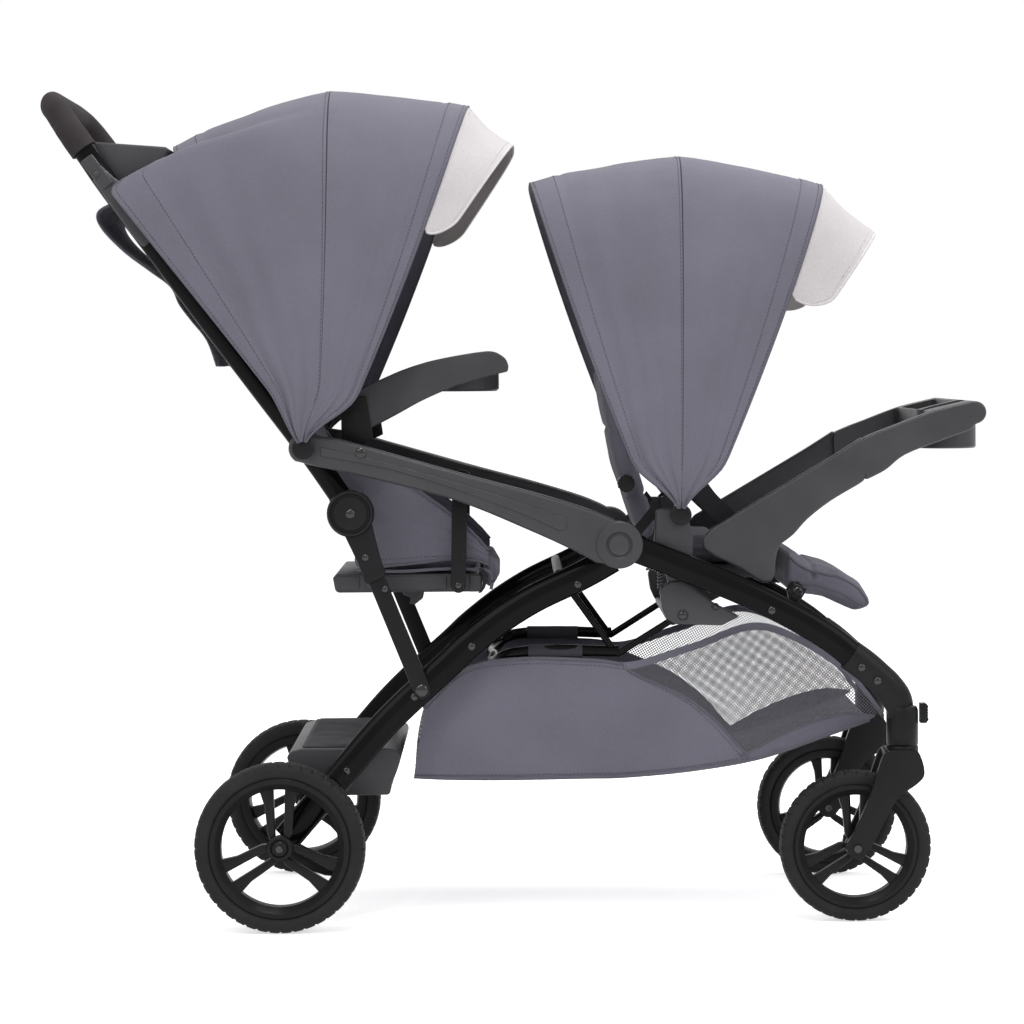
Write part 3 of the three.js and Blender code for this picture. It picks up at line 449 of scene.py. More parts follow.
class Bench:
    """Modelling steps shared by all sub-assemblies."""

    SPIN_MERGE = 2e-6
    SWELL_FRAMES = 20

    def __init__(self, finishes: Finishes) -> None:
        """Keeps the finishes at hand."""
        self.finishes = finishes

    @staticmethod
    def clear() -> None:
        """Leaves edit mode and deselects everything."""
        if bpy.context.object and bpy.context.object.mode != "OBJECT":
            bpy.ops.object.mode_set(mode="OBJECT")
        for other in bpy.context.selected_objects:
            other.select_set(False)

    @staticmethod
    def named(name: str) -> Piece:
        """Names the object that was just added."""
        bpy.context.object.name = name
        return bpy.context.object

    def focus(self, piece: Piece) -> None:
        """Selects one piece alone and makes it active."""
        self.clear()
        bpy.context.view_layer.objects.active = piece
        piece.select_set(True)

    def apply(self, piece: Piece, kind: str, **values: object) -> None:
        """Adds a modifier, sets it and applies it."""
        self.focus(piece)
        modifier = piece.modifiers.new(kind.lower(), kind)
        for key, value in values.items():
            setattr(modifier, key, value)
        bpy.ops.object.modifier_apply(modifier=modifier.name)

    @contextmanager
    def editing(self, piece: Piece) -> Iterator[None]:
        """Opens a whole piece in edit mode, and leaves that mode afterwards."""
        self.focus(piece)
        bpy.ops.object.mode_set(mode="EDIT")
        bpy.ops.mesh.select_all(action="SELECT")
        yield
        bpy.ops.object.mode_set(mode="OBJECT")

    def tidy(self, piece: Piece, merge: float = 1e-6) -> None:
        """Merges doubles and turns all faces outwards."""
        with self.editing(piece):
            bpy.ops.mesh.remove_doubles(threshold=merge)
            bpy.ops.mesh.normals_make_consistent(inside=False)

    def smooth(self, piece: Piece, degrees: float = 35.0) -> None:
        """Shades smooth up to an angle between faces."""
        self.focus(piece)
        bpy.ops.object.shade_smooth_by_angle(angle=radians(degrees))

    def ready(self, piece: Piece, degrees: float) -> Piece:
        """Cleans a piece up and shades it smooth."""
        self.tidy(piece)
        self.smooth(piece, degrees)
        return piece

    def loop(self, name: str, points: Sequence[Sequence[float]], filled: bool) -> Piece:
        """Adds a circle primitive and lays its vertices on a closed outline."""
        self.clear()
        fill = "NGON" if filled else "NOTHING"
        bpy.ops.mesh.primitive_circle_add(vertices=len(points), radius=1, fill_type=fill)
        piece = self.named(name)
        for vertex, point in zip(piece.data.vertices, points):
            vertex.co = Vector(point)
        return piece

    def prism(
            self, name: str, outline: Sequence[Point2], low: float, high: float, bevel: float = 0.0015,
            segments: int = 3) -> Piece:
        """Extrudes a side-view outline across the width and rounds its edges."""
        piece = self.loop(name, [(x * MM, low * MM, z * MM) for x, z in outline], True)
        with self.editing(piece):
            bpy.ops.mesh.extrude_region_move(TRANSFORM_OT_translate={"value": (0, (high - low) * MM, 0)})
        self.tidy(piece)
        if bevel > 0:
            self.apply(
                piece, "BEVEL", width=bevel, segments=segments, limit_method="ANGLE", angle_limit=radians(30),
                use_clamp_overlap=True)
        self.smooth(piece)
        return piece

    def spun(self, name: str, profile: Sequence[Point2], center: Point2, steps: int = 72) -> Piece:
        """Spins a closed profile about an axis across the width."""
        x0, z0 = center
        points = [((x0 + r) * MM, y * MM, z0 * MM) for r, y in profile]
        return self.turned(name, points, (x0 * MM, 0, z0 * MM), (0, 1, 0), steps)

    def upright(self, name: str, center: Point2, profile: Sequence[Point2], steps: int = 48) -> Piece:
        """Spins a closed profile of radius and height about an upright axis, in millimetres."""
        x0, y0 = center
        points = [((x0 + r) * MM, y0 * MM, z * MM) for r, z in profile]
        return self.turned(name, points, (x0 * MM, y0 * MM, 0), (0, 0, 1), steps)

    def turned(self, name: str, points: Sequence[Point3], center: Point3, axis: Point3, steps: int) -> Piece:
        """Turns a closed profile in metres about an axis through a point."""
        piece = self.loop(name, points, False)
        with self.editing(piece):
            bpy.ops.mesh.spin(steps=steps, angle=2 * pi, center=center, axis=axis)
        self.tidy(piece, self.SPIN_MERGE)
        self.smooth(piece, 40)
        return piece

    def rod(self, name: str, radius: float, low: float, high: float, center: Point2,
            steps: int = 32) -> Piece:
        """Plain round bar across the width, in millimetres."""
        return self.spun(name, [(0, low), (radius, low), (radius, high), (0, high)], center, steps)

    def bowl(self, name: str, center: Point2, radius: float, low: float, high: float,
            edge: float = 3.0) -> Piece:
        """Upright cylinder with a slanted lower edge, in millimetres."""
        profile = [(0, low), (radius - edge, low), (radius, low + edge), (radius, high), (0, high)]
        return self.upright(name, center, profile, 64)

    def curve(self, name: str) -> Piece:
        """Adds an empty curve."""
        self.clear()
        bpy.ops.curve.primitive_bezier_curve_add(radius=1)
        piece = self.named(name)
        piece.data.splines.clear()
        piece.data.dimensions = "3D"
        return piece

    def pipe(
            self, name: str, points: Sequence[Point3], half_across: float, half_height: float,
            straight: bool = False, rounded: int = 6) -> Piece:
        """Sweeps an oval section along a route.

        Args:
            name: Name of the new piece.
            points: Route in millimetres.
            half_across: Half width of the section across the stroller, in millimetres.
            half_height: Half height of the section in the side view, in millimetres.
            straight: Whether the route keeps its corners.
            rounded: Steps between the route's points.

        Returns:
            The new piece as a mesh.
        """
        self.clear()
        bpy.ops.curve.primitive_bezier_circle_add(radius=1)
        section = bpy.context.object
        section.scale = (half_across * MM, half_height * MM, 1)
        bpy.ops.object.transform_apply(location=False, rotation=False, scale=True)
        section.data.resolution_u = 7
        piece = self.curve(name)
        curve = piece.data
        spline = curve.splines.new("POLY" if straight else "BEZIER")
        if straight:
            spline.points.add(len(points) - 1)
            for target, (x, y, z) in zip(spline.points, points):
                target.co = (x * MM, y * MM, z * MM, 1)
        else:
            spline.bezier_points.add(len(points) - 1)
            for target, (x, y, z) in zip(spline.bezier_points, points):
                target.co = (x * MM, y * MM, z * MM)
                target.handle_left_type = "AUTO"
                target.handle_right_type = "AUTO"
        curve.twist_mode = "Z_UP"
        curve.resolution_u = rounded
        curve.bevel_mode = "OBJECT"
        curve.bevel_object = section
        curve.use_fill_caps = True
        self.focus(piece)
        bpy.ops.object.convert(target="MESH")
        bpy.data.objects.remove(section)
        return self.ready(piece, 45)

    def cloth(
            self, name: str, columns: int, rows: int, place: Face, relief: Field, inside: Point3,
            thickness: float = 1.4) -> "Cut":
        """Lays a grid on a curved face, raises its relief and gives it the thickness of cloth.

        Args:
            name: Name of the new piece.
            columns: Faces along the first direction.
            rows: Faces along the second direction.
            place: Point in millimetres at two shares from 0 to 1.
            relief: Height over that face in millimetres at the same shares.
            inside: A point on the inner side of the cloth, in millimetres.
            thickness: Thickness in millimetres.

        Returns:
            The piece with its flat sizes and its face.
        """
        self.clear()
        bpy.ops.mesh.primitive_grid_add(x_subdivisions=columns, y_subdivisions=rows, size=2)
        piece = self.named(name)
        mesh = piece.data
        shares = [((v.co.x + 1) / 2, (v.co.y + 1) / 2) for v in mesh.vertices]
        for vertex, (u, v) in zip(mesh.vertices, shares):
            vertex.co = Vector(place(u, v)) * MM
        mesh.update()
        center = Vector(inside) * MM
        facing = sum(v.normal.dot((v.co - center).normalized()) for v in mesh.vertices)
        if facing < 0:
            mesh.flip_normals()
            mesh.update()
        lifts = [vertex.normal * (relief(u, v) * MM) for vertex, (u, v) in zip(mesh.vertices, shares)]
        for vertex, lift in zip(mesh.vertices, lifts):
            vertex.co += lift
        mesh.update()
        cut = Cut(piece, columns, rows, mesh)
        self.apply(piece, "SOLIDIFY", thickness=thickness * MM, offset=-1)
        self.tidy(piece)
        self.smooth(piece, 50)
        return cut

    def stitching(
            self, name: str, lines: Sequence[Sequence[Vector]], length: float = 3.4, gap: float = 1.8,
            radius: float = 0.42) -> Piece:
        """Sews dashed lines of thread.

        Args:
            name: Name of the new piece.
            lines: Dense lines of points in metres.
            length: Length of a stitch in millimetres.
            gap: Room between two stitches in millimetres.
            radius: Radius of the thread in millimetres.

        Returns:
            All stitches as one piece.
        """
        piece = self.curve(name)
        curve = piece.data
        for line in lines:
            walked = 0
            kept: list[Vector] = []
            for a, b in zip(line, line[1:]):
                span = (b - a).length / MM
                steps = max(1, round(span / 0.6))
                for step in range(steps):
                    if walked < length:
                        kept.append(a.lerp(b, step / steps))
                    elif len(kept) > 1:
                        spline = curve.splines.new("POLY")
                        spline.points.add(1)
                        spline.points[0].co = (*kept[0], 1)
                        spline.points[1].co = (*kept[-1], 1)
                        kept = []
                    walked = (walked + span / steps) % (length + gap)
        curve.bevel_depth = radius * MM
        curve.bevel_resolution = 1
        curve.use_fill_caps = True
        self.focus(piece)
        bpy.ops.object.convert(target="MESH")
        return self.ready(piece, 60)

    def cord(self, name: str, line: Sequence[Vector], radius: float) -> Piece:
        """Round piping along a dense line of points in metres, with its radius in millimetres."""
        points = [tuple(point / MM) for point in line]
        return self.pipe(name, points, radius, radius, straight=True)

    def ribbon(
            self, name: str, points: Sequence[Point3], across: Point3, half_width: float,
            half_thickness: float) -> Piece:
        """Flat strap along a dense route."""
        self.clear()
        count = len(points)
        bpy.ops.mesh.primitive_grid_add(x_subdivisions=count - 1, y_subdivisions=4, size=2)
        piece = self.named(name)
        side = Vector(across).normalized()
        for vertex in piece.data.vertices:
            index = round((vertex.co.x + 1) / 2 * (count - 1))
            vertex.co = (Vector(points[index]) + side * (half_width * vertex.co.y)) * MM
        self.apply(piece, "SOLIDIFY", thickness=2 * half_thickness * MM, offset=0)
        return self.ready(piece, 50)

    def cushion(
            self, name: str, outline: Sequence[Point2], low: float, high: float,
            limits: tuple[Point3, Point3], cap: float = 8.0, voxel: float = 5.0,
            pressure: float = 4.0) -> Piece:
        """Blows up a closed shape like a stuffed pad, by cloth simulation.

        Args:
            name: Name of the new piece.
            outline: Corners in the side view, in millimetres.
            low: Lowest place across the width, in millimetres.
            high: Highest place across the width, in millimetres.
            limits: Low and high corner of the room for the pad, in millimetres.
            cap: Largest movement of a point, in millimetres.
            voxel: Size of the remesh, in millimetres.
            pressure: Pressure inside the pad.

        Returns:
            The padded piece.
        """
        piece = self.prism(name, outline, low, high, 0.007, 3)
        self.apply(piece, "REMESH", mode="VOXEL", voxel_size=voxel * MM)
        start = [vertex.co.copy() for vertex in piece.data.vertices]
        self.inflate(piece, pressure)
        floor, roof = (Vector(corner) * MM for corner in limits)
        for vertex, rest in zip(piece.data.vertices, start):
            move = vertex.co - rest
            if move.length > cap * MM:
                vertex.co = rest + move.normalized() * (cap * MM)
            for axis in range(3):
                vertex.co[axis] = min(max(vertex.co[axis], floor[axis]), roof[axis])
        self.apply(piece, "SUBSURF", levels=1, render_levels=1)
        return piece

    def inflate(self, piece: Piece, pressure: float) -> None:
        """Runs a short cloth simulation with pressure inside, without gravity."""
        self.focus(piece)
        modifier = piece.modifiers.new("swell", "CLOTH")
        settings = modifier.settings
        settings.quality = 5
        settings.mass = 0.3
        settings.tension_stiffness = 12
        settings.compression_stiffness = 12
        settings.bending_stiffness = 0.6
        settings.use_pressure = True
        settings.uniform_pressure_force = pressure
        settings.effector_weights.gravity = 0
        modifier.collision_settings.use_collision = False
        modifier.point_cache.frame_start = 1
        modifier.point_cache.frame_end = self.SWELL_FRAMES
        scene = bpy.context.scene
        for step in range(1, self.SWELL_FRAMES + 1):
            scene.frame_set(step)
        bpy.ops.object.modifier_apply(modifier=modifier.name)
        scene.frame_set(1)

    def sewn(self, piece: Piece, depth: Callable[[Vector], float]) -> None:
        """Draws the face of a pad in along its channels and folds, and shades it smooth."""
        mesh = piece.data
        mesh.update()
        moves = [vertex.normal * (depth(vertex.co / MM) * MM) for vertex in mesh.vertices]
        for vertex, move in zip(mesh.vertices, moves):
            vertex.co -= move
        mesh.update()
        self.smooth(piece, 60)

    def on_face(self, piece: Piece, points: Sequence[Point3], lift: float) -> list[Vector]:
        """Nearest points of a piece's face, lifted off it."""
        bpy.context.view_layer.update()
        line = []
        for point in points:
            found, place, normal, _ = piece.closest_point_on_mesh(Vector(point) * MM)
            if found:
                line.append(place + normal * (lift * MM))
        return line

    def dense(self, points: Sequence[Point3], step: float = 4.0) -> list[Point3]:
        """Route with points at most one step apart."""
        corners = [Vector(p) for p in points]
        result: list[Point3] = []
        for a, b in zip(corners, corners[1:]):
            count = max(1, ceil((b - a).length / step))
            result += [tuple(a.lerp(b, i / count)) for i in range(count)]
        result.append(tuple(corners[-1]))
        return result

    def knob(self, name: str, center: Point2, radius: float, low: float, high: float,
            ridges: int = 14) -> Piece:
        """Round knob with grooves for the fingers."""
        outline = []
        for i in range(ridges * 8):
            turn = 2 * pi * i / (ridges * 8)
            reach = radius - 0.55 + 0.55 * cos(ridges * turn)
            outline.append((center[0] + reach * cos(turn), center[1] + reach * sin(turn)))
        return self.prism(name, outline, low, high, 0.0014, 3)

    def button(self, name: str, center: Point2, radius: float, y: float, height: float, side: int) -> Piece:
        """Domed round head that stands out from a side face."""
        profile = [
            (0, y), (radius, y), (radius, y + height * 0.35), (radius * 0.86, y + height * 0.72),
            (radius * 0.5, y + height * 0.95), (0, y + height)]
        return self.spun(name, [(r, side * place) for r, place in profile], center, 24)

    def join(self, name: str, pieces: Sequence[Piece]) -> Piece:
        """Joins pieces into one object without merging their shells."""
        self.clear()
        for piece in pieces:
            piece.select_set(True)
        bpy.context.view_layer.objects.active = pieces[0]
        if len(pieces) > 1:
            bpy.ops.object.join()
        pieces[0].name = name
        return pieces[0]

    def cut(self, piece: Piece, tool: Piece) -> None:
        """Cuts one piece with another and deletes the tool."""
        self.apply(piece, "BOOLEAN", operation="DIFFERENCE", object=tool, solver="EXACT")
        bpy.data.objects.remove(tool)

    def unite(self, piece: Piece, tool: Piece) -> None:
        """Unites one piece with another and deletes the other."""
        self.apply(piece, "BOOLEAN", operation="UNION", object=tool, solver="EXACT")
        bpy.data.objects.remove(tool)

    def finish(self, piece: Piece, name: str, look: Look, body: str, nodes: Sequence[str] = (),
            slot: str = "") -> None:
        """Names and dresses a piece, and lets it ride on its body.

        Args:
            piece: Finished mesh.
            name: Name of the piece.
            look: Its finish.
            body: CAD body that carries it.
            nodes: CAD nodes that it stands for.
            slot: Material slot of the record, where it isn't the finish's own; not used.
        """
        self.clear()
        piece.name = name
        piece.data.materials.clear()
        piece.data.materials.append(look.material)
        piece.data.transform(piece.matrix_world)
        piece.matrix_world = Matrix.Identity(4)
        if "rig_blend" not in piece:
            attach(piece, body)
        if nodes:
            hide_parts(*nodes)
        log.info("%s: %d faces on %s", name, len(piece.data.polygons), body)


def arc(center: Point2, radius: float, start: float, end: float, steps: int = 10) -> list[Point2]:
    """Points on an arc in the side view."""
    angles = [radians(start + (end - start) * i / steps) for i in range(steps + 1)]
    return [(center[0] + radius * cos(a), center[1] + radius * sin(a)) for a in angles]


def curved(points: Sequence[Point2], steps: int = 6) -> list[Point2]:
    """Smooth open line through side-view points, ends included.

    Args:
        points: Points in millimetres.
        steps: Steps between two points.

    Returns:
        Points on the smooth line.
    """
    padded = [points[0], *points, points[-1]]
    result: list[Point2] = []
    for i in range(1, len(padded) - 2):
        before, a, b, after = padded[i - 1], padded[i], padded[i + 1], padded[i + 2]
        for k in range(steps):
            t = k / steps
            weights = (
                -0.5 * t + t * t - 0.5 * t ** 3, 1 - 2.5 * t * t + 1.5 * t ** 3, 0.5 * t + 2 * t * t - 1.5 * t
                ** 3, -0.5 * t * t + 0.5 * t ** 3)
            corners = (before, a, b, after)
            result.append(tuple(sum(w * c[axis] for w, c in zip(weights, corners)) for axis in (0, 1)))
    result.append(tuple(points[-1]))
    return result


@dataclass
class Studio:
    """Camera, floor and soft light."""

    focal_pixels: float = 3270.0
    frame_pixels: float = 1024.0
    sensor: float = 36.0
    distance: float = 4.5
    height: float = 0.744
    pitch_degrees: float = 2.644
    roll: float = 0.0091
    floor_lift: float = 0.6
    SKY: ClassVar[tuple[Point3, float]] = ((0.97, 0.98, 1), 0.56)
    BACKDROP: ClassVar[tuple[Point3, float]] = ((1, 1, 1), 1)
    AIM: ClassVar[Point3] = (0, 0, 0.55)

    def camera(self) -> Piece:
        """Adds the camera that matches the photograph."""
        Bench.clear()
        bpy.ops.object.camera_add()
        camera = bpy.context.object
        camera.name = "photo_camera"
        camera.data.sensor_width = self.sensor
        camera.data.lens = self.focal_pixels / self.frame_pixels * self.sensor
        camera.data.clip_start = 0.05
        camera.data.clip_end = 60
        place = Matrix.Translation((0, -self.distance, self.height))
        aim = Matrix.Rotation(radians(90 - self.pitch_degrees), 4, "X")
        camera.matrix_world = place @ aim @ Matrix.Rotation(-self.roll, 4, "Z")
        bpy.context.scene.camera = camera
        return camera

    def floor(self) -> Piece:
        """Adds the plain pale floor."""
        Bench.clear()
        bpy.ops.mesh.primitive_plane_add(size=40)
        plane = bpy.context.object
        plane.name = "studio_floor"
        tree = Tree("pale_floor")
        tree.set(Base_Color=(0.93, 0.93, 0.935, 1), Roughness=0.85, Specular_IOR_Level=0)
        tree.set(Emission_Color=(1, 1, 1, 1))
        path = tree.node("LightPath")
        mirrored = tree.maths("ADD", path.outputs["Is Glossy Ray"], path.outputs["Is Transmission Ray"])
        seen = tree.maths("MINIMUM", tree.maths("ADD", path.outputs["Is Camera Ray"], mirrored), 1)
        tree.link(tree.maths("MULTIPLY", seen, self.floor_lift), tree.shader.inputs["Emission Strength"])
        plane.data.materials.append(tree.material)
        return plane

    def lamp(self, name: str, place: Point3, size: Point2, power: float) -> Piece:
        """Adds a large soft lamp that looks at the stroller."""
        Bench.clear()
        bpy.ops.object.light_add(type="AREA", location=place)
        lamp = bpy.context.object
        lamp.name = name
        lamp.data.energy = power
        lamp.data.shape = "RECTANGLE"
        lamp.data.size, lamp.data.size_y = size
        aim = (Vector(self.AIM) - Vector(place)).to_track_quat("-Z", "Y")
        lamp.rotation_euler = aim.to_euler()
        return lamp

    def world(self) -> None:
        """Shows white behind the stroller and lights it softly from all round."""
        world = bpy.data.worlds.new("studio")
        world.use_nodes = True
        tree = Nodes(world.node_tree)
        path = tree.node("LightPath")
        mirrored = tree.maths("ADD", path.outputs["Is Glossy Ray"], path.outputs["Is Transmission Ray"])
        seen = tree.maths("ADD", path.outputs["Is Camera Ray"], mirrored)
        seen.node.use_clamp = True
        mix = tree.node("MixShader")
        tree.link(seen, mix.inputs["Fac"])
        for index, (colour, strength) in enumerate((self.SKY, self.BACKDROP), 1):
            light = tree.node("Background")
            light.inputs["Color"].default_value = (*colour, 1)
            light.inputs["Strength"].default_value = strength
            tree.link(light.outputs[0], mix.inputs[index])
        tree.link(mix.outputs[0], tree.node("OutputWorld").inputs["Surface"])
        bpy.context.scene.world = world

    def build(self) -> None:
        """Sets up the whole studio."""
        lamps = [
            self.lamp("key_lamp", (-2.4, -3.4, 3.4), (2.6, 2.6), 55), self.lamp("fill_lamp", (3.2, -2.4, 2.6),
            (2.4, 2.4), 48), self.lamp("strip_lamp", (0.5, -0.3, 3.4), (5, 0.18), 105),]
        self.floor()
        self.world()
        bpy.context.scene.view_settings.view_transform = "Standard"


class Assembly:
    """A part of the stroller that is made on the bench."""

    def __init__(self, bench: Bench) -> None:
        """Keeps the bench at hand."""
        self.bench = bench


@dataclass(frozen=True)
class WheelSizes:
    """Sizes of one kind of wheel, in millimetres."""

    center: Point2
    track: float
    radius: float
    tyre_inner: float
    rim_inner: float
    tyre_width: float
    hub: float
    sipes: int


class Wheels(Assembly):
    """Four wheels with three twin spokes and treaded foam tyres."""

    REAR = WheelSizes((-307, 112), 252, 112, 92, 77, 40, 15, 44)
    FRONT = WheelSizes((450, 100), 197, 100, 82, 68, 36, 13, 40)

    def tyre(self, name: str, sizes: WheelSizes, side: Side, body: str, node: str) -> None:
        """Foam tyre with a rounded crown and cross grooves.

        Args:
            name: Name of the piece.
            sizes: Sizes of the wheel.
            side: Side of the stroller.
            body: Body that carries it.
            node: CAD node that it stands for.
        """
        middle = side.value * sizes.track
        half = sizes.tyre_width / 2
        r, inner = sizes.radius, sizes.tyre_inner
        profile = [
            (inner, -half * 0.8), (inner + 4, -half * 0.93), (r - 10, -half), (r - 5.5, -half * 0.95),
            (r - 2.2, -half * 0.8), (r - 0.7, -half * 0.55), (r, -half * 0.25), (r, half * 0.25),
            (r - 0.7, half * 0.55), (r - 2.2, half * 0.8), (r - 5.5, half * 0.95), (r - 10, half),
            (inner + 4, half * 0.93), (inner, half * 0.8)]
        steps = sizes.sipes * 6
        piece = self.bench.spun(name, [(q, middle + y) for q, y in profile], sizes.center, steps)
        x0, z0 = sizes.center
        for vertex in piece.data.vertices:
            x, y, z = (c / MM for c in vertex.co)
            distance = hypot(x - x0, z - z0)
            off = abs(y - middle) / half
            if distance > r - 8:
                turn = atan2(z - z0, x - x0) / (2 * pi) * sizes.sipes
                step = round(turn * 6) % 6
                shift = 3 if y > middle else 0
                deep = 1.7 if (step - shift) % 6 == 0 and off > 0.2 else 0
                factor = (distance - deep) / distance
                vertex.co.x = (x0 + (x - x0) * factor) * MM
                vertex.co.z = (z0 + (z - z0) * factor) * MM
        self.bench.smooth(piece, 30)
        self.bench.finish(piece, name, self.bench.finishes.tyre, body, [node])

    def rim(self, name: str, sizes: WheelSizes, side: Side, body: str, node: str) -> None:
        """Moulded rim with a dished ring, twin spokes and a domed hub.

        Args:
            name: Name of the piece.
            sizes: Sizes of the wheel.
            side: Side of the stroller.
            body: Body that carries it.
            node: CAD node that it stands for.
        """
        bench = self.bench
        middle = side.value * sizes.track
        out = side.value
        outer, inner = sizes.tyre_inner, sizes.rim_inner
        half = sizes.tyre_width / 2 - 1.5
        ring = [
            (inner, -9.5), (inner + 2.5, -half + 1.5), (inner + 6, -half), (outer - 1.2, -half),
            (outer, -half + 1.2), (outer, half - 1.2), (outer - 1.2, half), (inner + 8, half),
            (inner + 5.5, half - 2.5), (inner + 1.5, 11), (inner, 9.5)]
        pieces = [bench.spun("ring", [(q, middle + out * y) for q, y in ring], sizes.center, 120)]
        hub = sizes.hub
        dome = [
            (0, -14), (hub - 2, -14), (hub, -12), (hub, 9), (hub + 1.5, 9.5), (hub + 1.5, 12),
            (hub * 0.86, 14.2), (hub * 0.8, 14.2), (hub * 0.77, 13), (hub * 0.72, 14.6), (hub * 0.6, 17),
            (hub * 0.4, 18.6), (hub * 0.2, 19.3), (0, 19.5)]
        scale = min(1, (half + 1) / 19.5)
        pieces.append(bench.spun("hub", [(q, middle + out * y * scale) for q, y in dome], sizes.center, 60))
        near, far = hub - 2.5, inner + 2.5
        share = sizes.radius / 112
        for turn in (90, 210, 330):
            for hand in (-1, 1):
                wide_in, wide_out = 19 * share, 29 * share
                gap_in, gap_out = 5.6 * share, 7.6 * share
                corners = [
                    (near + 1, hand * gap_in), (far, hand * gap_out), (far + 0.5, hand * (wide_out + 3)),
                    (far - 7, hand * (wide_out - 4)), ((near + far) / 2 + 8, hand * (wide_in + 1.5) * 0.93),
                    (near + 6, hand * wide_in * 0.83), (near - 1, hand * wide_in * 0.66)]
                if hand < 0:
                    corners.reverse()
                angle = radians(turn)
                placed = [
                    (sizes.center[0] + a * cos(angle) - b * sin(angle), sizes.center[1] + a * sin(angle) + b
                    * cos(angle)) for a, b in corners]
                low = middle + out * -6.5
                high = middle + out * 8.5
                pieces.append(bench.prism("spoke", placed, min(low, high), max(low, high), 0.0022, 3))
        piece = bench.join(name, pieces)
        bench.finish(piece, name, bench.finishes.wheel, body, [node])

    def build(self) -> None:
        """Makes the four wheels."""
        for kind, sizes in (("rear", self.REAR), ("front", self.FRONT)):
            for side in Side:
                body = f"{kind}_wheel_{side.word}"
                self.tyre(f"{body}_tread", sizes, side, body, f"{kind}_tyre_{side.word}")
                self.rim(f"{body}_rim", sizes, side, body, body)


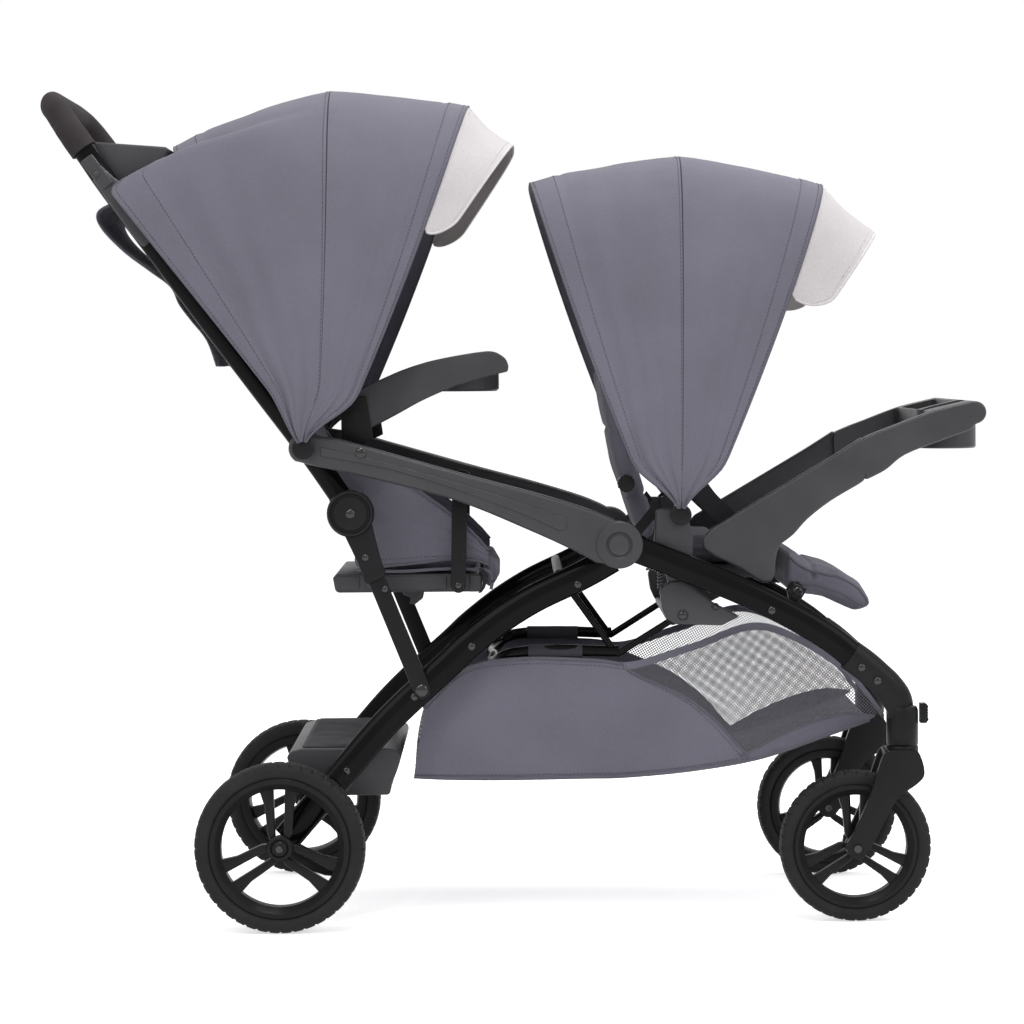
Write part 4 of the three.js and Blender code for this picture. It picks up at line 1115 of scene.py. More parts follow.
class Chassis(Assembly):
    """Legs, elbows, forks, arm housings, uprights and axles."""

    HUB: Point2 = (140, 502)
    ARM_PIVOT: Point2 = (-272, 632)
    DISC: Point2 = (-212, 546)
    LEG_PIVOT: Point2 = (-121, 312)
    REAR_LEG: tuple[Point3, ...] = (
        (132, 482, 183), (102, 465, 183), (11, 420, 183), (-57, 371, 186), (-84, 346, 189), (-169, 268, 201),
        (-235, 193, 211), (-301, 118, 216))
    FRONT_LEG: tuple[Point3, ...] = (
        (160, 497, 211), (220, 473, 211), (339, 421, 211), (421, 373, 211), (457, 343, 211))

    def leg(self, name: str, route: Sequence[Point3], side: Side, body: str, node: str,
            half_height: float) -> None:
        """Oval frame tube of one leg."""
        points = [(x, side.value * y, z) for x, z, y in route]
        piece = self.bench.pipe(name, points, 11, half_height, rounded=8)
        self.bench.finish(piece, name, self.bench.finishes.tube, body, [node])

    def housing_outline(self, inset: float) -> list[Point2]:
        """Outline of the arm housing, drawn in by a distance."""
        lower = curved(
            [(-262, 610 + inset), (-168, 588 + inset), (-68, 560 + inset), (27, 520 + inset),
            (83, 493.5 + inset), (112, 477 + inset)], 5)
        hub = arc(self.HUB, 31 - inset, -125, 95, 18)
        upper = curved(
            [(128, 538 - inset), (96, 551 - inset), (30, 571.5 - inset), (-68, 598.5 - inset),
            (-226, 644.5 - inset)], 5)
        end = arc(self.ARM_PIVOT, 20 - inset, 62, 235, 12)
        return lower[:-1] + hub + upper + end

    def arm_housing(self, side: Side) -> None:
        """Long arm cover with a raised band, a hub rim and a hub cap."""
        bench = self.bench
        out = side.value

        def layer(name: str, outline: Sequence[Point2], low: float, high: float, bevel: float) -> Piece:
            """Prism between two distances from the middle, on this side."""
            return bench.prism(name, outline, *across(out, low, high), bevel, 4)

        shell = layer("housing", self.housing_outline(0), 198, 225.5, 0.006)
        band_low = curved([(-250, 622), (-160, 604), (-68, 575), (20, 541), (60, 522)], 5)
        band_high = curved([(58, 541), (20, 556), (-68, 584.5), (-160, 611.5), (-250, 634)], 5)
        tip = arc((62, 531), 10, -70, 75, 8)
        band = layer("band", band_low + tip + band_high, 224, 227.2, 0.0016)
        rim = [(15.5, 222), (31, 222), (31, 226), (29, 228), (18, 228), (15.5, 225.6)]
        ring = bench.spun("hub_ring", [(r, out * y) for r, y in rim], self.HUB, 56)
        cap = [(0, 221), (14.2, 221), (14.2, 226.2), (12.8, 227.8), (11, 226.7), (4, 227.4), (0, 227.6)]
        disc = bench.spun("hub_cap", [(r, out * y) for r, y in cap], self.HUB, 44)
        name = f"arm_cover_{side.word}"
        piece = bench.join(name, [shell, band, ring, disc])
        bench.finish(
            piece, name, bench.finishes.charcoal, "frame", [f"arm_housing_{side.word}"], slot="black_plastic")

    def elbow(self, side: Side) -> None:
        """Elbow sleeve, post and boss at the front of one leg."""
        bench = self.bench
        out = side.value
        route = [(443, 354), (462, 340), (479, 325), (496, 308), (507, 291), (512, 272), (513, 255)]
        sleeve = bench.pipe(
            "sleeve", [(x, out * (211 - 14 * min(1, i / 5)), z) for i, (x, z) in enumerate(route)], 13.6,
            20.5, rounded=7)
        boss = bench.upright(
            "boss", (513, out * 197), [(0, 233), (20.4, 233), (21, 235), (21, 279), (19, 284), (12, 286),
            (0, 286)])
        name = f"front_elbow_cover_{side.word}"
        piece = bench.join(name, [sleeve, boss])
        bench.finish(piece, name, bench.finishes.black, "frame", [f"front_elbow_{side.word}"])

    def fork(self, side: Side) -> None:
        """Swivelling front fork with two curved blades."""
        bench = self.bench
        out = side.value
        middle = out * 197
        collar = bench.upright(
            "collar", (513, middle), [(0, 203.5), (19.5, 203.5), (21, 206), (21, 230.5), (20, 232.3),
            (0, 232.3)])
        stem = bench.upright("stem", (513, middle), rectangle(0, 231, 7.8, 257.5), 24)
        blade = curved([(497, 229), (486, 224), (478, 205), (466, 168), (449, 128), (436.5, 107)],
            5) + arc((450, 100), 14, 155, 330, 12) + curved([(467, 99), (484, 132), (503, 165), (528, 184),
            (538, 196), (536, 214), (529, 229)], 5)
        pieces = [collar, stem]
        for hand in (-1, 1):
            ends = sorted((middle + hand * 22.3, middle + hand * 33.5))
            pieces.append(bench.prism("blade", blade, *ends, 0.0035, 4))
        crown = [(487, 229), (489, 212), (496, 204.5), (522, 204.5), (532, 210), (535, 220), (529, 229.5)]
        pieces.append(bench.prism("crown", crown, middle - 30, middle + 30, 0.004, 4))
        name = f"caster_fork_cover_{side.word}"
        piece = bench.join(name, pieces)
        bench.finish(piece, name, bench.finishes.black, f"caster_{side.word}", [f"caster_fork_{side.word}"])

    def lower_upright(self, side: Side) -> None:
        """Flat link between the leg and the handle, with the round fold cover."""
        bench = self.bench
        out = side.value
        foot = arc(self.LEG_PIVOT, 11.5, 30, -150, 10)
        bar = bench.prism(
            "bar", [(-174, 476), (-112, 322), *foot, (-131, 308), (-194, 466)], *across(out, 199.6, 213.2),
            0.003, 4)
        front = curved([(-190, 556), (-175, 492), (-167, 467)], 6)
        back = curved([(-195, 456), (-202, 478), (-229, 536)], 6)
        top = arc(self.DISC, 16, 215, 50, 8)
        collar = bench.prism(
            "collar", [*front, (-170, 462), (-191, 452.5), *back, *top], *across(out, 198.3, 216.2), 0.003, 4)
        rim = [
            (0, 198.3), (30.5, 198.3), (31, 200), (31, 219), (29.5, 221.5), (26.5, 222.3), (25, 220.4),
            (23, 220.4), (22, 222.6), (14, 223.2), (0, 223.4)]
        disc = bench.spun("disc", [(r, out * y) for r, y in rim], self.DISC, 64)
        name = f"lower_upright_{side.word}_cover"
        piece = bench.join(name, [bar, collar, disc])
        bench.finish(
            piece, name, bench.finishes.black, "uprights", [f"lower_upright_{side.word}"], slot="frame_tube")

    def swivel_lock(self, side: Side) -> None:
        """Grooved slide on the front of the elbow."""
        bench = self.bench
        low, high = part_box(f"swivel_lock_{side.word}")
        x0, x1 = low.x / MM, high.x / MM
        z0, z1 = low.z / MM, high.z / MM
        outline = [(x0, z0), (x1 - 3, z0), (x1, z0 + 4)]
        steps = 4
        for i in range(steps):
            base = z0 + 6 + (z1 - z0 - 11) * i / steps
            outline += [(x1, base), (x1 - 1.3, base + 1.6)]
        outline += [(x1, z1 - 4), (x1 - 3, z1), (x0, z1)]
        name = f"swivel_slide_{side.word}"
        piece = bench.prism(name, outline, low.y / MM, high.y / MM, 0.0006, 2)
        bench.finish(
            piece, name, bench.finishes.black, f"swivel_lock_{side.word}", [f"swivel_lock_{side.word}"])

    def axles(self) -> None:
        """Rear cross axle and short front axles."""
        bench = self.bench
        low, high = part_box("rear_axle")
        reach = (high.y - low.y) / 2 / MM
        radius = (high.z - low.z) / 2 / MM
        rod = bench.spun(
            "rear_axle_rod", [(0, -reach), (radius - 0.8, -reach), (radius, -reach + 0.8),
            (radius, reach - 0.8), (radius - 0.8, reach), (0, reach)], (-307, 112), 40)
        bench.finish(rod, "rear_axle_rod", bench.finishes.rivet, "rear_legs", ["rear_axle"], slot="steel")
        for side in Side:
            node = f"front_axle_{side.word}"
            low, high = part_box(node)
            radius = (high.z - low.z) / 2 / MM
            ends = (low.y / MM, high.y / MM)
            rod = bench.spun(
                node + "_rod", [(0, ends[0]), (radius, ends[0]), (radius, ends[1]), (0, ends[1])], (450, 100),
                32)
            bench.finish(rod, node + "_rod", bench.finishes.rivet, f"caster_{side.word}", [node],
                slot="steel")

    def rivets(self, side: Side) -> None:
        """Glossy domed heads on the legs, covers and links."""
        bench = self.bench
        groups: dict[str, list[tuple[Point2, float, float]]] = {
            "frame": [((339.5, 414), 5.2, 221.2), ((457, 338), 5.2, 223.3), ((478, 320), 5.2, 220.5),
            ((-197, 626), 6.5, 227)], "rear_legs": [((86, 449), 5.2, 193.2), ((-55, 368), 5.2, 196.2),
            ((-131, 303), 5.2, 205.5), ((-221, 207), 5.2, 218.5)], "uprights": [((-193, 488), 4.8, 216),
            ((-168, 446), 4.6, 213), (self.LEG_PIVOT, 8, 213.8), (self.DISC, 6, 223)],}
        for body, places in groups.items():
            heads = [bench.button("head", place, radius, y, 2.6, side.value) for place, radius, y in places]
            name = f"rivets_{body}_{side.word}"
            piece = bench.join(name, heads)
            bench.finish(piece, name, bench.finishes.rivet, body)

    def build(self) -> None:
        """Makes both sides of the chassis."""
        for side in Side:
            self.leg(
                f"rear_leg_tube_{side.word}", self.REAR_LEG, side, "rear_legs", f"rear_leg_{side.word}", 19)
            self.leg(
                f"front_leg_tube_{side.word}", self.FRONT_LEG, side, "frame", f"front_leg_{side.word}", 18)
            self.arm_housing(side)
            self.elbow(side)
            self.fork(side)
            self.lower_upright(side)
            self.swivel_lock(side)
            self.rivets(side)
        self.axles()


class Handle(Assembly):
    """Handle tubes, cross bar, foam grip, brackets and the parent tray."""

    def tubes(self) -> None:
        """One bent tube from disc to disc, and its brackets."""
        bench = self.bench
        half = [
            (-212, 546, 183), (-268, 628, 183), (-334, 717, 183), (-400, 806, 183), (-465, 895, 183),
            (-530, 984, 183), (-553, 1018, 182), (-577, 1052, 176), (-595, 1077, 160), (-606, 1088.5, 134),
            (-607.3, 1090, 112)]
        route = both_sides(half)
        tube = bench.pipe("handle_tube", route, 10.8, 15, rounded=8)
        pieces = [tube]
        for side in Side:
            out = side.value
            boss = [(0, 172.5), (19.5, 172.5), (21, 174), (21, 192.2), (19.5, 193.6), (0, 193.6)]
            pieces.append(bench.spun("boss", [(r, out * y) for r, y in boss], Chassis.DISC, 40))
        piece = bench.join("handle_tube", pieces)
        bench.finish(piece, "handle_tube", bench.finishes.tube, "handle", ["handle_frame"])
        for side in Side:
            self.brackets(side)

    def brackets(self, side: Side) -> None:
        """Tray bracket and the clamp where the tube slides."""
        bench = self.bench
        out = side.value
        outline = [
            (-549, 1005), (-540, 1010), (-520, 991), (-489, 967), (-478, 940), (-470, 905), (-480, 897),
            (-496, 914), (-519, 947), (-545, 984)]
        bracket = bench.prism("bracket", outline, *across(out, 168.5, 197), 0.004, 4)
        tab = bench.prism(
            "tab", [(-562, 1010), (-547, 1021), (-518, 982), (-533, 971)], *across(out, 191, 199), 0.003, 4)
        knob = bench.button("head", (-541, 993), 4.6, 198.8, 2.4, out)
        name = f"tray_bracket_{side.word}"
        piece = bench.join(name, [bracket, tab, knob])
        bench.finish(piece, name, bench.finishes.charcoal, "handle")

    def grip(self) -> None:
        """Foam sleeve round the cross bar and both bends."""
        bench = self.bench
        half = [
            (-558.5, 1025.5, 181.5), (-574.5, 1048, 177.5), (-587, 1066, 170), (-597.5, 1080, 156),
            (-605.5, 1088, 134), (-607.3, 1090, 108), (-607.3, 1090, 60), (-607.3, 1090, 20)]
        route = both_sides(half)
        piece = bench.pipe("handle_foam", route, 16, 18.6, rounded=8)
        bench.focus(piece)
        bench.apply(piece, "BEVEL", width=0.005, segments=4, limit_method="ANGLE", angle_limit=radians(60))
        bench.finish(piece, "handle_foam", bench.finishes.grip, "handle", ["handle_grip"])

    def parent_tray(self) -> None:
        """Organiser with two cup wells and a lidless middle bin."""
        bench = self.bench
        outline = [
            (-553, 1036), (-548, 1038), (-452, 1030.5), (-449, 1026), (-456, 1008), (-471, 990), (-490, 981),
            (-520, 978), (-540, 990), (-551, 1010)]
        tray = bench.prism("parent_tray_shell", outline, -166, 166, 0.004, 4)
        wells = [bench.bowl("well", (-500, y), 36, 988, 1060) for y in (-112, 112)]
        bin_hole = bench.prism("bin", rectangle(-536, 996, -466, 1060), -62, 62, 0.006, 4)
        for tool in [*wells, bin_hole]:
            bench.cut(tray, tool)
        bench.smooth(tray, 35)
        bench.finish(tray, "parent_tray_shell", bench.finishes.charcoal, "handle", ["parent_tray"])

    def build(self) -> None:
        """Makes the handle and what rides on it."""
        self.tubes()
        self.grip()
        self.parent_tray()


class Trays(Assembly):
    """Child trays of the two seats, with cup wells and dishes."""

    def hollow(self, tray: Piece, place: Point2, cup: Sequence[float], well: Sequence[float],
            dish: Piece) -> None:
        """Unites a cup with a tray, and cuts the cup's well and a dish into both."""
        bench = self.bench
        bench.unite(tray, bench.bowl("cup", place, *cup))
        for tool in (bench.bowl("well", place, *well), dish):
            bench.cut(tray, tool)
        bench.smooth(tray, 35)

    def front(self) -> None:
        """Front tray on its two arms, with a cup well and a dish."""
        bench = self.bench
        arm = curved([(262, 521), (300, 543.5), (340, 567), (380, 590.5), (420, 614), (452, 634)], 4) + [
            (462, 640.5), (468, 628), (470.5, 600), (465, 583)] + curved([(456, 577), (420, 556), (390, 533),
            (372, 513.5), (360, 504)], 4) + [(352, 498), (348, 486), (346, 470), (345, 456), (340, 449.5),
            (331, 448.5), (322, 452), (300, 468), (266, 484), (252, 494), (250, 508)]
        pieces = []
        for side in Side:
            out = side.value
            pieces.append(bench.prism("arm", arm, *across(out, 183, 199.3), 0.0045, 4))
        body = curved([(462, 638), (482, 646.5), (505, 655), (535, 666.5), (562, 675.5), (608, 686)],
            4) + arc((610.6, 671), 14.8, 85, -85, 12) + curved([(604, 648), (562, 633), (518, 616),
            (492, 596), (466, 583)], 4) + [(463, 600), (461, 620)]
        tray = bench.prism("tray", body, -199.5, 199.5, 0.005, 5)
        space = bench.prism("space", rectangle(440, 560, 552, 720), -176, 176, 0.012, 5)
        bench.cut(tray, space)
        dish = bench.prism("dish", [(556, 656), (600, 656), (604, 700), (552, 700)], -40, 150, 0.008, 5)
        self.hollow(tray, (585, -96), (40, 622, 674, 2), (34, 630, 700), dish)
        piece = bench.join("front_tray_shell", [tray, *pieces])
        bench.finish(piece, "front_tray_shell", bench.finishes.charcoal, "front_tray", ["front_child_tray"])

    def rear(self) -> None:
        """Rear tray on its two curved arms."""
        bench = self.bench
        arm = [(-219, 668), (-219, 698)] + curved(
            [(-212, 702), (-191, 713), (-166, 724), (-142, 734), (-110, 744), (-76, 751), (-40, 756.5),
            (-22, 756.5), (-8, 748), (-3, 737)], 4) + [(-4, 730)] + curved([(-24, 725.5), (-66, 714),
            (-99, 701), (-132, 686), (-165, 668), (-194, 653.5), (-204, 652), (-214, 657)], 4)
        pieces = [bench.prism("arm", arm, *across(side.value, 150.5, 167.5), 0.005, 4) for side in Side]
        body = curved([(-100, 740), (-70, 749), (-36, 754), (-18, 752), (-7, 744)], 4) + [
            (-7, 733), (-26, 727), (-60, 717), (-94, 708), (-100, 716)]
        tray = bench.prism("tray", body, -152, 152, 0.003, 4)
        dish = bench.prism("dish", [(-86, 728), (-26, 728), (-24, 780), (-88, 780)], -30, 130, 0.006, 4)
        self.hollow(tray, (-58, -92), (42, 704, 744), (36, 712, 780), dish)
        piece = bench.join("rear_tray_shell", [tray, *pieces])
        bench.finish(piece, "rear_tray_shell", bench.finishes.charcoal, "rear_tray", ["rear_child_tray"])
        heads = [bench.button("head", (-202, 676), 7, 167.5, 2.4, side.value) for side in Side]
        piece = bench.join("rear_tray_rivets", heads)
        bench.finish(piece, "rear_tray_rivets", bench.finishes.rivet, "rear_tray")

    def build(self) -> None:
        """Makes both trays."""
        self.front()
        self.rear()


class Platform(Assembly):
    """Standing platform on the rear legs, its mat and the brake pedal."""

    RIBS = 22
    RIB_PITCH = 15

    def build(self) -> None:
        """Makes deck, mat and pedal."""
        bench = self.bench
        deck = curved([(-302, 221), (-297, 228), (-284, 231.8)], 3)[:-1] + [(-284, 232), (-172, 232)] + curved(
            [(-162, 230.5), (-153, 225), (-151, 217), (-157, 198), (-163, 184), (-165, 172)], 3) + [
            (-168, 169.5), (-236, 169.5), (-244, 173), (-290, 190), (-296, 200)]
        piece = bench.prism("platform_deck", deck, -178, 178, 0.004, 4)
        bench.finish(piece, "platform_deck", bench.finishes.charcoal, "rear_legs", ["standing_platform"])
        mat = bench.prism("mat_base", rectangle(-282, 232.2, -176, 234.6), -165, 165, 0.0008, 2)
        ribs = [mat]
        for i in range(self.RIBS):
            y = -157.5 + i * self.RIB_PITCH
            ribs.append(bench.prism("rib", rectangle(-277, 234, -181, 236), y - 4, y + 4, 0.0006, 2))
        piece = bench.join("platform_mat_ribs", ribs)
        bench.finish(piece, "platform_mat_ribs", bench.finishes.mat, "rear_legs", ["platform_mat"])
        low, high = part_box("brake_pedal")
        pedal = [
            (-318, 100), (-309, 122), (-300, 123.5), (-296, 112), (-288, 99), (-268, 88), (-244, 78),
            (-227, 75), (-224, 68), (-232, 63), (-252, 65), (-276, 73), (-300, 86)]
        piece = bench.prism("brake_lever", pedal, low.y / MM, high.y / MM, 0.004, 4)
        bench.finish(piece, "brake_lever", bench.finishes.black, "brake", ["brake_pedal"])


class Seat(Assembly):
    """What both seats share."""

    def stuffed_back(
            self, place: str, outline: Sequence[Point2], limits: tuple[Point3, Point3], rows: Sequence[float],
            wave: float) -> None:
        """Makes the stuffed back with channels across it."""
        bench = self.bench
        back = bench.cushion("back", outline, -136, 136, limits, 5, 5)

        def channels(point: Vector) -> float:
            """Channels across the back and shallow waves."""
            deep = sum(3 * exp(-((point.z - z) / 4) ** 2) for z in rows)
            return deep + noise.noise(point / 40) * wave + noise.noise(point / 13) * 0.3

        bench.sewn(back, channels)
        bench.finish(
            back, f"{place}_back_cushion", bench.finishes.cloth, f"{place}_back", [f"{place}_backrest"])

    def welted(self, seat: Piece, place: str, corners: Sequence[Point3]) -> None:
        """Dresses a stuffed seat, with a welt along its edge."""
        bench = self.bench
        welt = bench.cord("welt", bench.on_face(seat, bench.dense(corners), 0.3), 1.5)
        bench.finish(welt, f"{place}_seat_welt", bench.finishes.piping, "frame")
        bench.finish(seat, f"{place}_seat_cushion", bench.finishes.cloth, "frame", [f"{place}_seat_pad"])


@dataclass(frozen=True)
class Hoop:
    """Line of cloth over a bow, in degrees and millimetres from the hub."""

    degrees: float
    radius: float
    foot: float = 0.0
    corner_degrees: float = 0.0
    corner_radius: float = 0.0

    def toward(self, other: "Hoop", share: float) -> "Hoop":
        """Hoop at a share of the way to another one."""
        pairs = ((getattr(self, key), getattr(other, key)) for key in self.__dataclass_fields__)
        return Hoop(*(a + (b - a) * share for a, b in pairs))


@dataclass(frozen=True)
class CanopyPlan:
    """Sizes of one canopy and the bodies that carry it."""

    prefix: str
    hub: Point2
    half_width: float
    rear: Hoop
    middle: Hoop
    front: Hoop
    peak: Hoop
    visor_start: float
    bodies: tuple[str, str, str]
    bows: tuple[tuple[str, float, float, float, str], ...]
    hem_row: float
    hangs: bool = False


REAR_CANOPY = CanopyPlan(
    "rear_canopy", (-272, 632), 240, Hoop(113.5, 440, -12, 13.3, 48), Hoop(85.8, 478, -18),
    Hoop(64.3, 504, -36), Hoop(55.3, 489), 0.117, ("handle", "rear_canopy_middle", "rear_canopy_front"), ((
    "middle", 85.8, 478, 231, "rear_canopy_middle"), ("front", 67.5, 492, 235.3, "rear_canopy_front")), 0.84,
    True)
FRONT_CANOPY = CanopyPlan(
    "front_canopy", (222, 540), 217, Hoop(113.6, 484, 31), Hoop(89.3, 478, -2), Hoop(65.7, 480, -26),
    Hoop(54.3, 461), 0.128, ("front_canopy_rear", "front_canopy_middle", "front_canopy_front"), (
    ("rear", 107.7, 470, 203, "front_canopy_rear"), ("middle", 88.4, 478, 207.3, "front_canopy_middle"), (
    "front", 69.6, 477, 211.6, "front_canopy_front")), 0.82)


class Canopy(Assembly):
    """Two covers over three bows, with a pale peak in front."""

    SQUARENESS = 0.42
    CORNERS = (0.74, 0.88)
    SAG = 6
    START = 0.000025
    FOOT_RISE = 0.19
    SEAM = 0.12
    HOLLOW = 0.7
    HEM_HEIGHT = 0.9
    COLUMNS = 150
    BLEND_REACH = 190
    BOW_STEPS = 40
    DROP = 8
    HANGING = (
        (-443, 1001), (-460, 974), (-500, 963), (-535, 955), (-548, 942), (-540, 921), (-511, 891),
        (-478, 866), (-451, 845), (-440, 822), (-424, 800), (-404, 774), (-392, 740))

    def __init__(self, bench: Bench, plan: CanopyPlan) -> None:
        """Keeps the bench and the sizes."""
        super().__init__(bench)
        self.plan = plan

    @staticmethod
    def step(value: float, low: float, high: float) -> float:
        """Smooth step from 0 at low to 1 at high."""
        t = min(max((value - low) / (high - low), 0), 1)
        return t * t * (3 - 2 * t)

    def point(self, hoop: Hoop, place: float, inset: float = 0.0, sag: float = 0.0) -> Point3:
        """Point of the cloth on a hoop."""
        cosine = cos(pi * place)
        reach = abs(cosine) ** self.SQUARENESS
        rise = max(sin(pi * place), 0) ** self.SQUARENESS
        corner = self.step(reach, *self.CORNERS)
        angle = radians(hoop.degrees + hoop.corner_degrees * corner)
        radius = (hoop.radius - inset - sag + hoop.corner_radius * corner) * rise
        foot = hoop.foot * (1 - rise * rise) * self.step(rise, 0.02, self.FOOT_RISE)
        x = self.plan.hub[0] + radius * cos(angle) - foot * sin(angle)
        z = self.plan.hub[1] + radius * sin(angle) + foot * cos(angle)
        return x, copysign(self.plan.half_width - inset, -cosine) * reach, z

    def eased(self, u: float, start: float) -> float:
        """Share of the way over the stroller, slower at both hubs."""
        return start + (1 - 2 * start) * (1 - cos(pi * u)) / 2

    def relief(self, u: float, v: float, seed: float) -> float:
        """Soft folds and puckers of a cover in millimetres."""
        low = sin(pi * u)
        between = sin(pi * v)
        broad = (swell(u * 7, v * 1.6, seed) + 0.25) * 4.2 * between
        folds = swell(u * 4, v * 7, seed + 4) * 4.6 * between * (1 - low) ** 0.6
        edge = exp(-v / 0.12) + exp(-(1 - v) / 0.12)
        drawn = between ** 0.35
        puckers = swell(u * 58, v * 4, seed + 9) * 2.4 * edge * drawn
        ripple = swell(u * 22, v * 7, seed + 15) * 1.5 * between
        raised = broad + folds + puckers + ripple
        return raised if raised > 0 else -self.HOLLOW * (1 - exp(raised / self.HOLLOW))

    def hem(self, distance: float, width: float) -> float:
        """Height of a folded hem at a share from the edge."""
        row = exp(-(distance / width - 1) ** 2 * 90)
        return self.HEM_HEIGHT * (1 - self.step(distance, width * 0.8, width)) - self.HEM_HEIGHT * row

    def cover(
            self, name: str, first: Hoop, second: Hoop, start: float, relief: Field,
            taper: Callable[[float], float] = lambda u: 1, rows: int = 30, depth: float = 0.0) -> Cut:
        """Cloth between two hoops."""
        def place(u: float, v: float) -> Point3:
            """Point of the plain face."""
            share = v * taper(u)
            hoop = first.toward(second, share)
            return self.point(hoop, self.eased(u, start), depth, self.SAG * sin(pi * share))

        inside = (self.plan.hub[0], 0, self.plan.hub[1] + 120)
        return self.bench.cloth(name, self.COLUMNS, rows, place, relief, inside)

    def moved(self, hoop: Hoop, degrees: float) -> Hoop:
        """The same hoop, turned about the hub."""
        return replace(hoop, degrees=hoop.degrees + degrees)

    def bend(self, piece: Piece, first: Hoop, second: Hoop, bodies: tuple[str, str]) -> None:
        """Lets a piece bend between two bows."""
        ends = []
        for hoop in (first, second):
            angle = radians(hoop.degrees)
            ends.append(
                ((self.plan.hub[0] + self.BLEND_REACH * cos(angle)) * MM, 0, (self.plan.hub[1] +
                self.BLEND_REACH * sin(angle)) * MM))
        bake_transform(piece, bodies[0], bodies[1], ends[0], ends[1])

    def covers(self) -> None:
        """Rear and front cover with their seams, hems and stitches."""
        bench, plan = self.bench, self.plan
        finishes = bench.finishes
        rear_body, middle_body, front_body = plan.bodies
        seam = self.moved(plan.middle, self.SEAM)
        rear = self.cover(
            plan.prefix + "_rear_cloth", plan.rear, seam, self.START, lambda u, v: self.relief(u, v, 3)
            * self.step(v, 0, 0.2) + self.hem(v, 0.2))
        fore = self.moved(plan.middle, -self.SEAM)
        front = self.cover(
            plan.prefix + "_front_cloth", fore, plan.front, self.START, lambda u, v: self.relief(u, v, 21)
            * (1 - self.step(v, 0.8, 1)) + self.hem(1 - v, 1 - plan.hem_row))
        sewn_rear = bench.stitching(
            "stitches", [rear.line(v, 0.004, 0.996, 0.25, 420) for v in (0.02, 0.155)] +
            [rear.line(0.985, 0.03, 0.97, 0.25, 420)])
        sewn_front = bench.stitching(
            "stitches", [front.line(v, 0.03, 0.97, 0.25, 420) for v in (plan.hem_row + 0.03, 0.975)])
        edge = bench.cord("hem", rear.line(0, 0, 1, -0.7, 200), 1.5)
        edges = zip(rear.line(1, 0, 1, -1.5, 200), front.line(0, 0, 1, -1.5, 200))
        joint = bench.cord("seam", [(behind + before) / 2 for behind, before in edges], 1.5)
        lip = bench.cord("lip", front.line(1, 0, 1, -0.5, 200), 1.6)
        for piece in (rear.piece, sewn_rear, edge):
            self.bend(piece, plan.rear, plan.middle, (rear_body, middle_body))
        for piece in (front.piece, sewn_front):
            self.bend(piece, plan.middle, plan.front, (middle_body, front_body))
        prefix = plan.prefix
        for piece, word, finish, body, nodes in (
                (rear.piece, "rear_cloth", finishes.cloth, middle_body, [prefix + "_rear_cover"]), (
                front.piece, "front_cloth", finishes.cloth, front_body, [prefix + "_front_cover"]), (
                sewn_rear, "rear_stitches", finishes.stitch, middle_body, []), (sewn_front, "front_stitches",
                finishes.stitch, front_body, []), (edge, "rear_piping", finishes.piping, middle_body, []), (
                joint, "seam_piping", finishes.lining, middle_body, []), (lip, "front_piping",
                finishes.piping, front_body, [])):
            bench.finish(piece, f"{prefix}_{word}", finish, body, nodes)
        rear.declare("stretched", sewn=[sewn_rear, edge])
        front.declare("stretched", sewn=[sewn_front, lip])

    def visor(self) -> None:
        """Pale peak with a bound edge and a grey lining."""
        bench, plan = self.bench, self.plan
        front = self.moved(plan.front, -self.SEAM)
        start = plan.visor_start

        def taper(u: float) -> float:
            """Narrows the peak at both ends."""
            return 0.16 + 0.84 * self.step(min(u, 1 - u), 0, 0.16)

        def relief(u: float, v: float) -> float:
            """Faint waves of the stiff peak."""
            return swell(u * 7, v * 2, 41) * 1.4 * sin(pi * v)

        top = self.cover("visor", front, plan.peak, start, relief, taper, 16)
        below = self.cover("visor_lining", front, plan.peak, start, relief, taper, 16, 1.9)
        rim = bench.cord("visor_rim", top.line(1, 0, 1, -0.8, 200), 1.7)
        sewn = bench.stitching(
            "stitches", [top.line(0.9, 0.03, 0.97, 0.2, 300), top.line(0.06, 0.03, 0.97, 0.2, 300)])
        body = plan.bodies[2]
        name = plan.prefix + "_visor"
        bench.finish(top.piece, name + "_cloth", bench.finishes.pale, body, [name])
        bench.finish(below.piece, name + "_lining", bench.finishes.visor_lining, body)
        bench.finish(rim, name + "_rim", bench.finishes.visor_rim, body)
        bench.finish(sewn, name + "_stitches", bench.finishes.visor_rim, body)
        top.declare("stretched", sewn=[rim, sewn])
        below.declare("stretched")

    def frames(self) -> None:
        """Bows under the cloth with their hub discs."""
        bench, plan = self.bench, self.plan
        for word, degrees, radius, side_y, body in plan.bows:
            route: list[Point3] = [(plan.hub[0], -side_y, plan.hub[1])]
            inset = plan.half_width - side_y
            for i in range(1, self.BOW_STEPS):
                place = (1 - cos(pi * i / self.BOW_STEPS)) / 2
                cosine = cos(pi * place)
                reach = (radius - inset - self.DROP) * sin(pi * place) ** self.SQUARENESS
                angle = radians(degrees)
                route.append(
                    (plan.hub[0] + reach * cos(angle), copysign(side_y, -cosine) * abs(cosine) **
                    self.SQUARENESS, plan.hub[1] + reach * sin(angle)))
            route.append((plan.hub[0], side_y, plan.hub[1]))
            bow = bench.pipe("bow", route, 2, 2, straight=True)
            discs = [
                bench.spun("hub", [(0, s * (side_y - 2)), (13.5, s * (side_y - 2)), (14, s * (side_y + 0.4)),
                (12, s * (side_y + 1.7)), (6, s * (side_y + 2)), (0, s * (side_y + 2))], plan.hub, 40)
                for s in (NEAR, FAR)]
            node = f"{plan.prefix}_{word}_bow"
            bench.finish(
                bench.join("bow", [bow, *discs]), node + "_strip", bench.finishes.black, body, [node],
                slot="charcoal_plastic")

